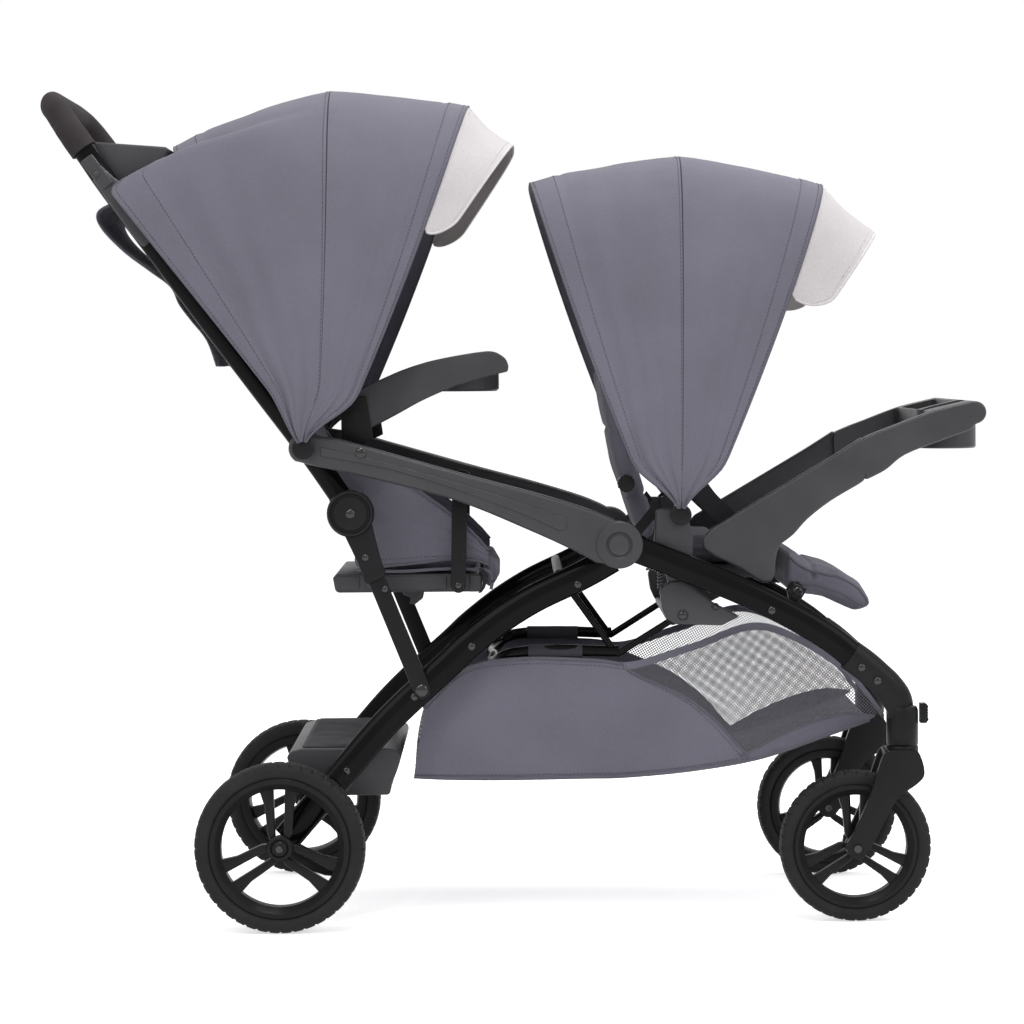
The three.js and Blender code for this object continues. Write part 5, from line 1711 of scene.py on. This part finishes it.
    def hanging(self) -> None:
        """Cloth that hangs behind the rear canopy, with two straps over it."""
        bench = self.bench
        profile = curved(self.HANGING, 8)

        def edge(y: float) -> Point2:
            """Place of the canopy's rear edge at a distance from the middle."""
            place = acos(min(abs(y / self.plan.half_width), 1) ** (1 / self.SQUARENESS)) / pi
            x, _, z = self.point(self.plan.rear, place)
            return x + 0.6, z - 1.2

        def path(share: float, y: float) -> Point2:
            """Point of the hanging cloth in the side view."""
            return along([edge(y), *profile], share)

        def place(u: float, v: float) -> Point3:
            """Point of the plain face."""
            y = 158 * (2 * u - 1)
            x, z = path(v, y)
            return x, y, z

        def relief(u: float, v: float) -> float:
            """Bulges between the straps and soft folds."""
            held = sin(pi * min(max(u, 0), 1))
            folds = swell(u * 9, v * 2.2, 55) * 5
            fine = swell(u * 22, v * 8, 61) * 1.4
            return (folds + fine) * self.step(v, 0.06, 0.25) * held ** 0.4 - 1

        cut = bench.cloth("hanging", 90, 90, place, relief, (-300, 0, 860))
        cut.piece.name = "rear_canopy_hanging_cloth"
        sewn = bench.stitching(
            "stitches", [[cut.at(0.03, j / 160, 0.25) for j in range(161)], [cut.at(0.97, j / 160, 0.25)
            for j in range(161)], cut.line(0.97, 0.02, 0.98, 0.25, 160)])
        bench.finish(cut.piece, "rear_canopy_hanging_cloth", bench.finishes.cloth, "handle")
        bench.finish(sewn, "rear_canopy_hanging_stitches", bench.finishes.stitch, "handle")
        straps = []
        for y in (-132, 132):
            route = [cut.at(y / 316 + 0.5, j / 40, 1) / MM for j in range(4, 41)]
            straps.append(bench.ribbon("strap", [tuple(p) for p in route], (0, 1, 0), 9, 0.8))
        strap = bench.join("straps", straps)
        bench.finish(strap, "rear_canopy_straps", bench.finishes.webbing, "handle")
        cut.declare("hung", sewn=[sewn])

    def build(self) -> None:
        """Builds one canopy."""
        self.covers()
        self.visor()
        self.frames()
        if self.plan.hangs:
            self.hanging()


class RearSeat(Seat):
    """Rear seat on its black tray, with back, side wings and hanger straps."""

    KNOB = (-338, 722)
    WING_TOP = ((-240, 600), (-224, 619), (-186, 604), (-149, 588), (-96, 552), (-56, 519), (-32, 492))
    WING_FOOT = ((-206, 474), (-180, 472), (-150, 474), (-110, 478), (-80, 481), (-50, 479), (-32, 474))
    BACK = ((-222, 520), (-209, 522), (-273, 664), (-376, 862), (-386, 856), (-288, 662))

    def tray(self) -> None:
        """Black seat tray with end blocks, hooks and hanger straps."""
        bench = self.bench
        corners = (
            (-237, 440), (-233, 437), (-46, 437), (-41, 441), (-40.5, 457), (-45, 461.5), (-236, 461.5),
            (-240, 457))
        parts = [bench.prism("tray", corners, -146, 146, 0.002)]
        for side in Side:
            low, high = across(side.value, 145.2, 147.8)
            parts.append(bench.prism("cover", rectangle(-196, 440, -88, 458.5), low, high, 0.0012))
            parts.append(bench.prism("block", rectangle(-236, 440, -204, 459), low, high, 0.0012))
            parts.append(bench.prism("block", rectangle(-58, 437, -42, 459), low, high, 0.0012))
            y = 100 * side.value
            parts.append(
                bench.prism("hook", ((-150, 440), (-118, 440), (-121, 426), (-132, 417.5), (-139, 418.5),
                (-137, 427), (-147, 431)), y - 7.6, y + 7.6, 0.0015))
        tray = bench.join("tray", parts)
        bench.finish(tray, "rear_seat_tray", bench.finishes.charcoal, "frame", ["rear_seat_base"])
        for side in Side:
            s = side.value
            low, high = across(s, 163.4, 170.1)
            strip = bench.prism(
                "strip", [*arc((-72, 447), 10, 180, 360, 12), (-59, 583), (-66, 589), (-76, 589), (-79, 585)],
                low, high, 0.0012)
            foot = bench.rod("foot", 7, s * 146.5, s * 163.8, (-72, 447), 28)
            head = bench.prism("head", rectangle(-79, 567, -59, 585), *across(s, 169.6, 197.4), 0.0015)
            hanger = bench.join("hanger", [strip, foot, head])
            bench.finish(hanger, f"rear_hanger_{side.word}", bench.finishes.black, "frame")
            bolt = bench.join(
                "bolt", [bench.spun("ring", [(6.6, s * 169.8), (7.6, s * 169.8), (7.4, s * 171),
                (6.8, s * 171)], (-72, 447), 32), bench.button("head", (-72, 447), 5, 169.9, 2.6, s)])
            bench.finish(bolt, f"rear_hanger_bolt_{side.word}", bench.finishes.rivet, "frame")

    def pad(self) -> None:
        """Stuffed seat with its sewn channel and piping."""
        bench = self.bench
        corners = ((-216, 470), (-44, 470), (-40, 482), (-56, 494), (-212, 498))
        seat = bench.cushion("seat", corners, -137, 137, ((-226, -143.8, 463.2), (-30.2, 143.8, 505.8)))

        def channels(point: Vector) -> float:
            """Channel across the seat and buttons' folds."""
            deep = 5 * exp(-((point.x + 128) / 5) ** 2) if point.z > 478 else 0
            drawn = 2.5 * exp(-(point.y / 5) ** 2) if point.z > 488 else 0
            waves = noise.noise(point / 34) * 1.2 + noise.noise(point / 12) * 0.4
            return deep + drawn + waves

        bench.sewn(seat, channels)
        self.welted(
            seat, "rear", [(-220, -143, 484), (-36, -143, 482), (-31, -136, 480), (-31, 136, 480),
            (-36, 143, 482), (-220, 143, 484)])

    def wings(self, side: Side) -> None:
        """Side panel of cloth between the back and the front of the seat, with its piping."""
        bench = self.bench
        s = side.value
        top, foot = curved(self.WING_TOP, 10), curved(self.WING_FOOT, 10)

        def place(u: float, v: float) -> Point3:
            """Point of the plain face."""
            (x0, z0), (x1, z1) = along(foot, u), along(top, u)
            edge = sin(pi * min(v * 1.15, 1))
            return x0 + (x1 - x0) * v, s * (146 + 1.6 * edge), z0 + (z1 - z0) * v

        def relief(u: float, v: float) -> float:
            """Folds that run from the seat's front up to the back."""
            run = swell(u * 1.6 + v * 0.8, v * 6 - u * 3.4, 71) * 3.2
            gather = swell(u * 17, v * 2, 77) * 1.9 * exp(-v / 0.16)
            fine = swell(u * 30, v * 18, 83) * 0.35
            return max(run + 1, -0.4) * sin(pi * v) + gather + fine + 0.5

        cut = bench.cloth("wing", 90, 60, place, relief, (-130, 0, 540), 2.2)
        edge = bench.cord("edge", cut.line(1, 0, 1, -0.6, 120), 2)
        hem = bench.cord("hem", cut.line(0, 0, 1, 0.2, 120), 2)
        inner = bench.stitching(
            "stitches", [cut.line(0.94, 0.02, 0.98, 0.25, 160), cut.line(0.06, 0.02, 0.98, 0.25, 160)])
        name = f"rear_wing_{side.word}"
        bench.finish(cut.piece, name, bench.finishes.cloth, "frame")
        bench.finish(edge, name + "_edge", bench.finishes.piping, "frame")
        bench.finish(hem, name + "_hem", bench.finishes.piping, "frame")
        bench.finish(inner, name + "_stitches", bench.finishes.stitch, "frame")
        cut.declare("stretched", sewn=[edge, hem, inner])
        low = [
            (x, s * 146.5, z) for x, z in ((-206, 467.5), (-150, 465), (-96, 467.5), (-54, 467), (-30, 463),
            (-27, 452), (-29, 440))]
        roll = bench.pipe("roll", low, 2.2, 2.2)
        bench.finish(roll, name + "_roll", bench.finishes.piping, "frame")

    def roll(self) -> None:
        """Padded roll in front of the tray, with a strap loop at each end."""
        bench = self.bench
        corners = ((-37, 446), (-30, 442), (-23, 449), (-22, 468), (-27, 482), (-37, 484))
        roll = bench.cushion("roll", corners, -140, 140, ((-39.6, -146, 437), (-17.5, 146, 490)), 6, 4)
        bench.sewn(roll, lambda point: noise.noise(point / 26) * 1 + noise.noise(point / 9) * 0.3)
        bench.finish(roll, "rear_seat_roll", bench.finishes.cloth, "frame")
        loops = []
        for side in Side:
            route = [(-44, 468), (-40, 466), (-37.5, 456), (-38.5, 444), (-44, 435.5)]
            middle = at_width(curved(route, 8), side.value * 148.6)
            loops.append(bench.ribbon("loop", middle, (1, 0, 0.25), 2.6, 0.9))
        straps = bench.join("straps", loops)
        bench.finish(straps, "rear_seat_straps", bench.finishes.webbing, "frame")

    def back(self) -> None:
        """Stuffed back with three channels, and the recline knob with its tab."""
        bench = self.bench
        self.stuffed_back("rear", self.BACK, ((-392, -141.8, 512), (-205, 141.8, 868)), (600, 672, 760), 1.2)
        low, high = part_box("rear_recline_knob")
        knob = bench.knob("knob", self.KNOB, (high.x - low.x) / 2 / MM, low.y / MM, high.y / MM)
        tab = bench.prism(
            "tab", [(-346, 729), (-333, 734), (-302, 712), (-296, 694), (-308, 688), (-341, 711)], -146.5,
            -139, 0.0012, 2)
        knob = bench.join("knob", [knob, tab])
        bench.finish(
            knob, "rear_knob", bench.finishes.black, "rear_back", ["rear_recline_knob"],
            slot="charcoal_plastic")

    def side_straps(self) -> None:
        """Light straps that run from the back down to the fold disc."""
        bench = self.bench
        straps = []
        for side in Side:
            route = at_width(curved([(-244, 632), (-232, 608), (-216, 584), (-202, 570)], 8), side.value
                * 152)
            straps.append(bench.ribbon("strap", route, (0.85, 0, 0.52), 7, 0.8))
        bench.finish(bench.join("straps", straps), "rear_side_straps", bench.finishes.piping, "frame")

    def mounts(self) -> None:
        """Plates that carry the rear tray."""
        bench = self.bench
        corners = ((-225, 699), (-191, 699), (-183, 641), (-213, 627), (-225, 633))
        for side in Side:
            s = side.value
            node = f"rear_tray_mount_{side.word}"
            plate = bench.prism("plate", corners, *across(s, 168.4, 171.6), 0.0008)
            low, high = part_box(node)
            ends = sorted((s * 171, s * max(abs(low.y), abs(high.y)) / MM))
            pin = bench.spun("pin", [(0, ends[0]), (6, ends[0]), (6, ends[1]), (0, ends[1])], (-204, 672), 32)
            bench.finish(
                bench.join("plate", [plate, pin]), node + "_plate", bench.finishes.black, "frame", [node])

    def build(self) -> None:
        """Builds the rear seat."""
        self.tray()
        self.pad()
        self.roll()
        self.back()
        self.mounts()
        self.side_straps()
        for side in Side:
            self.wings(side)


class FrontSeat(Seat):
    """Front seat with its side mounts, pad, back and calf rest."""

    HUB = (222, 540)
    KNOB = (152, 580)
    BACK = ((193, 504), (178, 500), (143, 602), (118, 736), (132, 740), (161, 610))
    CALF = (
        (364, 492), (394, 469), (440, 456), (470, 436), (486, 411), (470, 404), (418, 427), (380, 434),
        (362, 442))

    def mounts(self, side: Side) -> None:
        """Leg bracket, canopy block and the link between them."""
        bench = self.bench
        s = side.value
        bracket = bench.prism(
            "bracket", ((194, 438), (199, 446), (208, 451.5), (226, 453.5), (262, 424.5), (299, 404.5),
            (276, 393), (214, 395), (203, 402), (197, 416)), *across(s, 176.4, 199.2), 0.0022)
        block = bench.prism(
            "block", ((190, 546), (194, 548), (226, 547), (230, 543), (239, 510), (237, 480), (197, 480),
            (187, 500)), *across(s, 170.4, 199.2), 0.0025)
        tie = bench.prism(
            "tie", ((197, 484), (235, 484), (235, 441), (207, 441)), *across(s, 176.6, 195.6), 0.0015)
        hub = bench.rod("hub", 10.6, s * 168.4, s * 200.2, self.HUB, 40)
        step = bench.prism(
            "step", ((191, 500), (238, 496), (236, 481), (198, 481)), *across(s, 198.8, 199.9), 0.0006)
        ribs = [
            bench.prism("rib", ((191.5, 462 - 4.4 * i), (198, 464 - 4.4 * i), (198, 461.6 - 4.4 * i),
            (191.5, 459.6 - 4.4 * i)), *across(s, 178, 196), 0.0005) for i in range(5)]
        node = f"front_seat_mount_{side.word}"
        piece = bench.join("mount", [bracket, block, tie, hub, step, *ribs])
        bench.finish(piece, node + "_cover", bench.finishes.charcoal, "frame", [node], slot="black_plastic")
        bolts = []
        for place, radius in (((224, 407), 7.4), ((267, 418), 5.2)):
            bolts.append(
                bench.spun("ring", [(radius - 1.2, s * 199), (radius, s * 199), (radius - 0.2, s * 200.2),
                (radius - 1, s * 200.2)], place, 32))
            bolts.append(bench.button("head", place, radius - 2, 199, 2.4, s))
        bench.finish(
            bench.join("bolts", bolts), f"front_mount_bolts_{side.word}", bench.finishes.rivet, "frame")

    def pad(self) -> None:
        """Seat board and stuffed seat with its channel and piping."""
        bench = self.bench
        board = bench.prism(
            "board", ((199, 453), (349, 453), (351.5, 456), (351.5, 467), (348, 469.5), (200, 469.5),
            (196.5, 466), (196.5, 456)), -147.5, 147.5, 0.002)
        bench.finish(board, "front_seat_board", bench.finishes.charcoal, "frame", ["front_seat_base"])
        corners = ((213, 477), (340, 477), (343, 488), (336, 499), (216, 501))
        seat = bench.cushion("seat", corners, -136, 136, ((204, -143.8, 471.2), (350, 143.8, 507.8)))

        def channels(point: Vector) -> float:
            """Channel across the seat and shallow waves."""
            deep = 5 * exp(-((point.x - 280) / 5) ** 2) if point.z > 484 else 0
            return deep + noise.noise(point / 34) * 1.2 + noise.noise(point / 12) * 0.4

        bench.sewn(seat, channels)
        self.welted(
            seat, "front", [(210, -143, 490), (346, -143, 488), (350, -136, 487), (350, 136, 487),
            (346, 143, 488), (210, 143, 490)])

    def back(self) -> None:
        """Stuffed back with channels, and the recline knob."""
        bench = self.bench
        self.stuffed_back("front", self.BACK, ((112, -141.8, 491), (198, 141.8, 747)), (565, 650), 1)
        low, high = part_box("front_recline_knob")
        radius = (high.x - low.x) / 2 / MM
        knob = bench.knob("knob", self.KNOB, radius, low.y / MM, high.y / MM - 1)
        bench.finish(
            knob, "front_knob", bench.finishes.black, "front_back", ["front_recline_knob"],
            slot="charcoal_plastic")

    def calf(self) -> None:
        """Calf rest with its piping, rod and end knobs."""
        bench = self.bench
        rest = bench.cushion(
            "calf", [(x * 0.97 + 12.4, z * 0.97 + 13.2) for x, z in self.CALF], -133, 133,
            ((362, -139.8, 402.2), (487.8, 139.8, 491.8)), 4, 4.5)

        def channels(point: Vector) -> float:
            """Channel across the calf rest and shallow waves."""
            deep = 3.4 * exp(-((point.x - 402) / 3.5) ** 2) if point.z > 450 else 0
            return deep + noise.noise(point / 30) * 0.9 + noise.noise(point / 11) * 0.3

        bench.sewn(rest, channels)
        bench.finish(rest, "calf_cushion", bench.finishes.cloth, "calf_support", ["calf_rest"])
        welts = []
        for s in (NEAR, FAR):
            for path in (
                    ((366, 486), (394, 467), (440, 454), (468, 436), (485, 412)), ((368, 447), (400, 440),
                    (436, 430), (464, 412), (484, 408))):
                line = at_width(curved(path, 10), s * 139)
                welts.append(bench.cord("welt", bench.on_face(rest, line, 0.3), 1.7))
        bench.finish(bench.join("welts", welts), "calf_welts", bench.finishes.piping, "calf_support")
        low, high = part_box("calf_rest_rod")
        reach = high.y / MM
        parts = [bench.rod("rod", 5, -reach, reach, (376, 436))]
        for s in (NEAR, FAR):
            parts.append(bench.knob("knob", (376, 436), 12, *across(s, 148.2, 161.8), 10))
            parts.append(
                bench.prism("link", ((372, 447), (389, 440), (380, 425), (366, 421), (363, 434)),
                *across(s, 176.4, 195.6), 0.0015))
        bench.finish(
            bench.join("rod", parts), "calf_rod", bench.finishes.black, "calf_support", ["calf_rest_rod"],
            slot="charcoal_plastic")
        heads = [bench.button("head", (376, 436), 6.5, 195.8, 2.6, s) for s in (NEAR, FAR)]
        bench.finish(bench.join("heads", heads), "calf_rod_heads", bench.finishes.rivet, "calf_support")

    def straps(self) -> None:
        """Harness webbing at the sides of the front seat and its lap pieces."""
        bench = self.bench
        pieces = []
        for side in Side:
            s = side.value
            lap = at_width(curved([(246, 578), (262, 556), (284, 534), (300, 514)], 8), s * 158)
            pieces.append(bench.ribbon("lap", lap, (0.72, 0, 0.69), 13, 0.9))
            tail = at_width(curved([(196, 552), (180, 532), (166, 516)], 8), s * 154)
            pieces.append(bench.ribbon("tail", tail, (-0.6, 0, 0.8), 7, 0.8))
        bench.finish(bench.join("straps", pieces), "front_seat_straps", bench.finishes.webbing, "frame")

    def build(self) -> None:
        """Builds the front seat."""
        for side in Side:
            self.mounts(side)
        self.pad()
        self.back()
        self.calf()
        self.straps()


class Basket(Assembly):
    """Storage basket of cloth and net on its hoop."""

    FOOT = (
        (-134, 191), (-84, 188.5), (-10, 187.5), (90, 188.5), (150, 189.5), (240, 197.5), (330, 213),
        (420, 243), (474, 262))
    TOP = (
        (-119, 284), (-64, 335), (10, 348), (108, 345), (159, 341), (240, 365), (333, 391), (436, 337),
        (490, 274))
    SEAM = ((0.727, 0), (0.693, 0.2), (0.655, 0.4), (0.608, 0.6), (0.545, 0.8), (0.475, 1))
    HALF = 158.5

    def __init__(self, bench: Bench) -> None:
        """Keeps the bench and the smooth edges."""
        super().__init__(bench)
        self.foot = curved(self.FOOT, 12)
        self.top = curved(self.TOP, 12)
        self.seam = curved(self.SEAM, 8)

    def seam_at(self, v: float) -> float:
        """Share along the basket where cloth meets net, at a share of the height."""
        return along(self.seam, v)[0]

    def wall(self, u: float, v: float, s: int) -> Point3:
        """Point of a side wall."""
        x0, z0 = along(self.foot, u)
        x1, z1 = along(self.top, u)
        belly = 4.2 * sin(pi * min(max(v, 0), 1)) ** 0.6
        return x0 + (x1 - x0) * v, s * (self.HALF + belly), z0 + (z1 - z0) * v

    def folds(self, u: float, v: float) -> float:
        """Soft folds of the side walls in millimetres."""
        long_folds = swell(u * 9 + v * 1.5, v * 2.2, 91) * 2.6
        gather = swell(u * 46, v * 2, 95) * 1.6 * exp(-(1 - v) / 0.14)
        fine = swell(u * 36, v * 12, 99) * 0.35
        return (min(long_folds, 1.2) * sin(pi * v) + gather + fine) - 0.6

    def sides(self, side: Side) -> None:
        """Cloth, net and trim of one side wall."""
        bench = self.bench
        finishes = bench.finishes
        s = side.value
        inside = (170, 0, 260)
        word = side.word

        def net_low(u: float) -> float:
            """Lower edge of the net as a share of the height."""
            return 0.03 + 0.4 * max(0, (u - 0.70) / 0.30)

        def cloth_place(u: float, v: float) -> Point3:
            """Point of the cloth behind the seam."""
            return self.wall(u * self.seam_at(v), v, s)

        def net_place(u: float, v: float) -> Point3:
            """Point of the net in front of the seam."""
            start = self.seam_at(0.1 + 0.9 * v)
            at = start + (0.995 - start) * u
            low = net_low(at)
            return self.wall(at, low + (0.985 - low) * v, s)

        def band_place(u: float, v: float) -> Point3:
            """Point of the cloth band below the net."""
            at = self.seam_at(0.1 * v) + (1 - self.seam_at(0.1 * v)) * u
            return self.wall(at, net_low(at) * v, s)

        cloth = bench.cloth(
            "basket_cloth", 110, 44, cloth_place, lambda u, v: self.folds(u * self.seam_at(v), v), inside)
        net = bench.cloth("basket_net", 60, 36, net_place, lambda u, v: -0.4, inside, 0.6)
        band = bench.cloth(
            "basket_band", 60, 16, band_place, lambda u, v: swell(u * 14, v * 2, 103) * 1.2 - 0.2, inside)
        top = [Vector(self.wall(i / 240, 1, s)) * MM for i in range(241)]
        foot = [Vector(self.wall(i / 240, 0, s)) * MM for i in range(241)]
        first = round(240 * self.seam_at(1))
        trim_route = [tuple(point / MM + Vector((0, s * 0.8, -3))) for point in top[first:]]
        trim = bench.ribbon("trim", trim_route, (0, 0, 1), 5, 0.9)
        rim = bench.cord("rim", top[:first + 1], 2.2)
        base = bench.cord("base", foot, 2.4)
        seam = bench.cord("seam", [cloth.at(1, i / 80, 0.3) for i in range(81)], 1.5)
        low_seam = bench.cord("low_seam", band.line(1, 0, 1, 0.3, 120), 1.3)
        stitched = bench.stitching(
            "stitches", [[cloth.at(0.985, i / 120, 0.25) for i in range(121)],
            cloth.line(0.955, 0.02, 0.98, 0.25), cloth.line(0.03, 0.02, 0.98, 0.25)])
        bench.finish(cloth.piece, f"basket_cloth_{word}", finishes.cloth, "frame")
        bench.finish(
            net.piece, f"basket_net_{word}", finishes.net if side is Side.NEAR else finishes.far_net, "frame")
        bench.finish(band.piece, f"basket_band_{word}", finishes.cloth, "frame")
        bench.finish(trim, f"basket_trim_{word}", finishes.cloth, "frame")
        edges = bench.join("edges", [rim, base, seam, low_seam])
        bench.finish(edges, f"basket_piping_{word}", finishes.piping, "frame")
        bench.finish(stitched, f"basket_stitches_{word}", finishes.stitch, "frame")
        cloth.declare("hung", sewn=[stitched, edges])
        net.declare("hung", sewn=[trim])
        band.declare("hung")

    def bottom(self) -> None:
        """Sagging bottom and the net at the rear end."""
        bench = self.bench

        def place(u: float, v: float) -> Point3:
            """Point of the bottom."""
            x, z = along(self.foot, u)
            return x, self.HALF * (2 * v - 1), z + 0.6

        def sag(u: float, v: float) -> float:
            """Sag and soft folds below the foot line."""
            held = sin(pi * v) ** 0.6 * sin(pi * u) ** 0.4
            return (3 + swell(u * 8, v * 4, 111) * 2) * held

        floor = bench.cloth("bottom", 100, 50, place, sag, (100, 0, 300))
        bench.finish(floor.piece, "basket_bottom", bench.finishes.cloth, "frame", ["basket"])
        floor.declare("hung")

        def rear(u: float, v: float) -> Point3:
            """Point of the rear end."""
            return -134 + 15 * v, self.HALF * (2 * u - 1), 191 + 93 * v

        def bulge(u: float, v: float) -> float:
            """Bulge of the rear end."""
            return 5 * sin(pi * u) ** 0.5 * sin(pi * v)

        end = bench.cloth("rear_end", 60, 24, rear, bulge, (60, 0, 260), 0.6)
        rim = bench.cord("rim", end.line(1, 0, 1, 0, 80), 2.2)
        bench.finish(end.piece, "basket_rear_net", bench.finishes.net, "frame")
        bench.finish(rim, "basket_rear_rim", bench.finishes.piping, "frame")
        end.declare("hung", sewn=[rim])

    def frame(self) -> None:
        """Hoop, rods, struts and cross bars that carry the basket."""
        bench = self.bench
        half = [(140, 150, 356), (20, 150, 357), (-8, 146, 352), (-24, 120, 340)]
        route = [(x, -y, z) for x, y, z in half] + [(-26, 0, 338)] + half[::-1]
        hoop = bench.pipe("hoop", route, 7.6, 7.6, rounded=10)
        parts = [hoop]
        for s in (NEAR, FAR):
            parts.append(bench.pipe("rod", [(60, s * 150, 462), (138, s * 150, 352)], 4.6, 4.6, True))
            parts.append(bench.pipe("strut", [(212, s * 156, 398), (138, s * 152, 352)], 4.6, 4.6, True))
        bars = []
        bars.append(bench.rod("spar", 6.8, -165, 165, (62, 460)))
        bars.append(bench.rod("bar", 7.8, -175, 175, (212, 400)))
        bench.finish(bench.join("hoop", parts), "basket_tubes", bench.finishes.tube, "frame", ["basket_hoop"])
        bench.finish(bench.join("bars", bars), "basket_bars", bench.finishes.black, "frame",
            slot="frame_tube")
        sleeves = [
            bench.pipe("sleeve", [(20, s * 150, 357), (92, s * 150, 356.4)], 9.4, 9.4, True)
            for s in (NEAR, FAR)]
        bench.finish(bench.join("sleeves", sleeves), "basket_sleeves", bench.finishes.lining, "frame")

    def build(self) -> None:
        """Builds the basket."""
        self.frame()
        for side in Side:
            self.sides(side)
        self.bottom()


def main() -> None:
    """Builds the whole stroller."""
    studio = Studio()
    studio.camera()
    studio.build()
    bench = Bench(Finishes())
    for assembly in (Wheels, Chassis, Handle, Trays, Platform, RearSeat, FrontSeat, Basket):
        assembly(bench).build()
    for plan in (REAR_CANOPY, FRONT_CANOPY):
        Canopy(bench, plan).build()


if __name__ == "__main__":
    main()
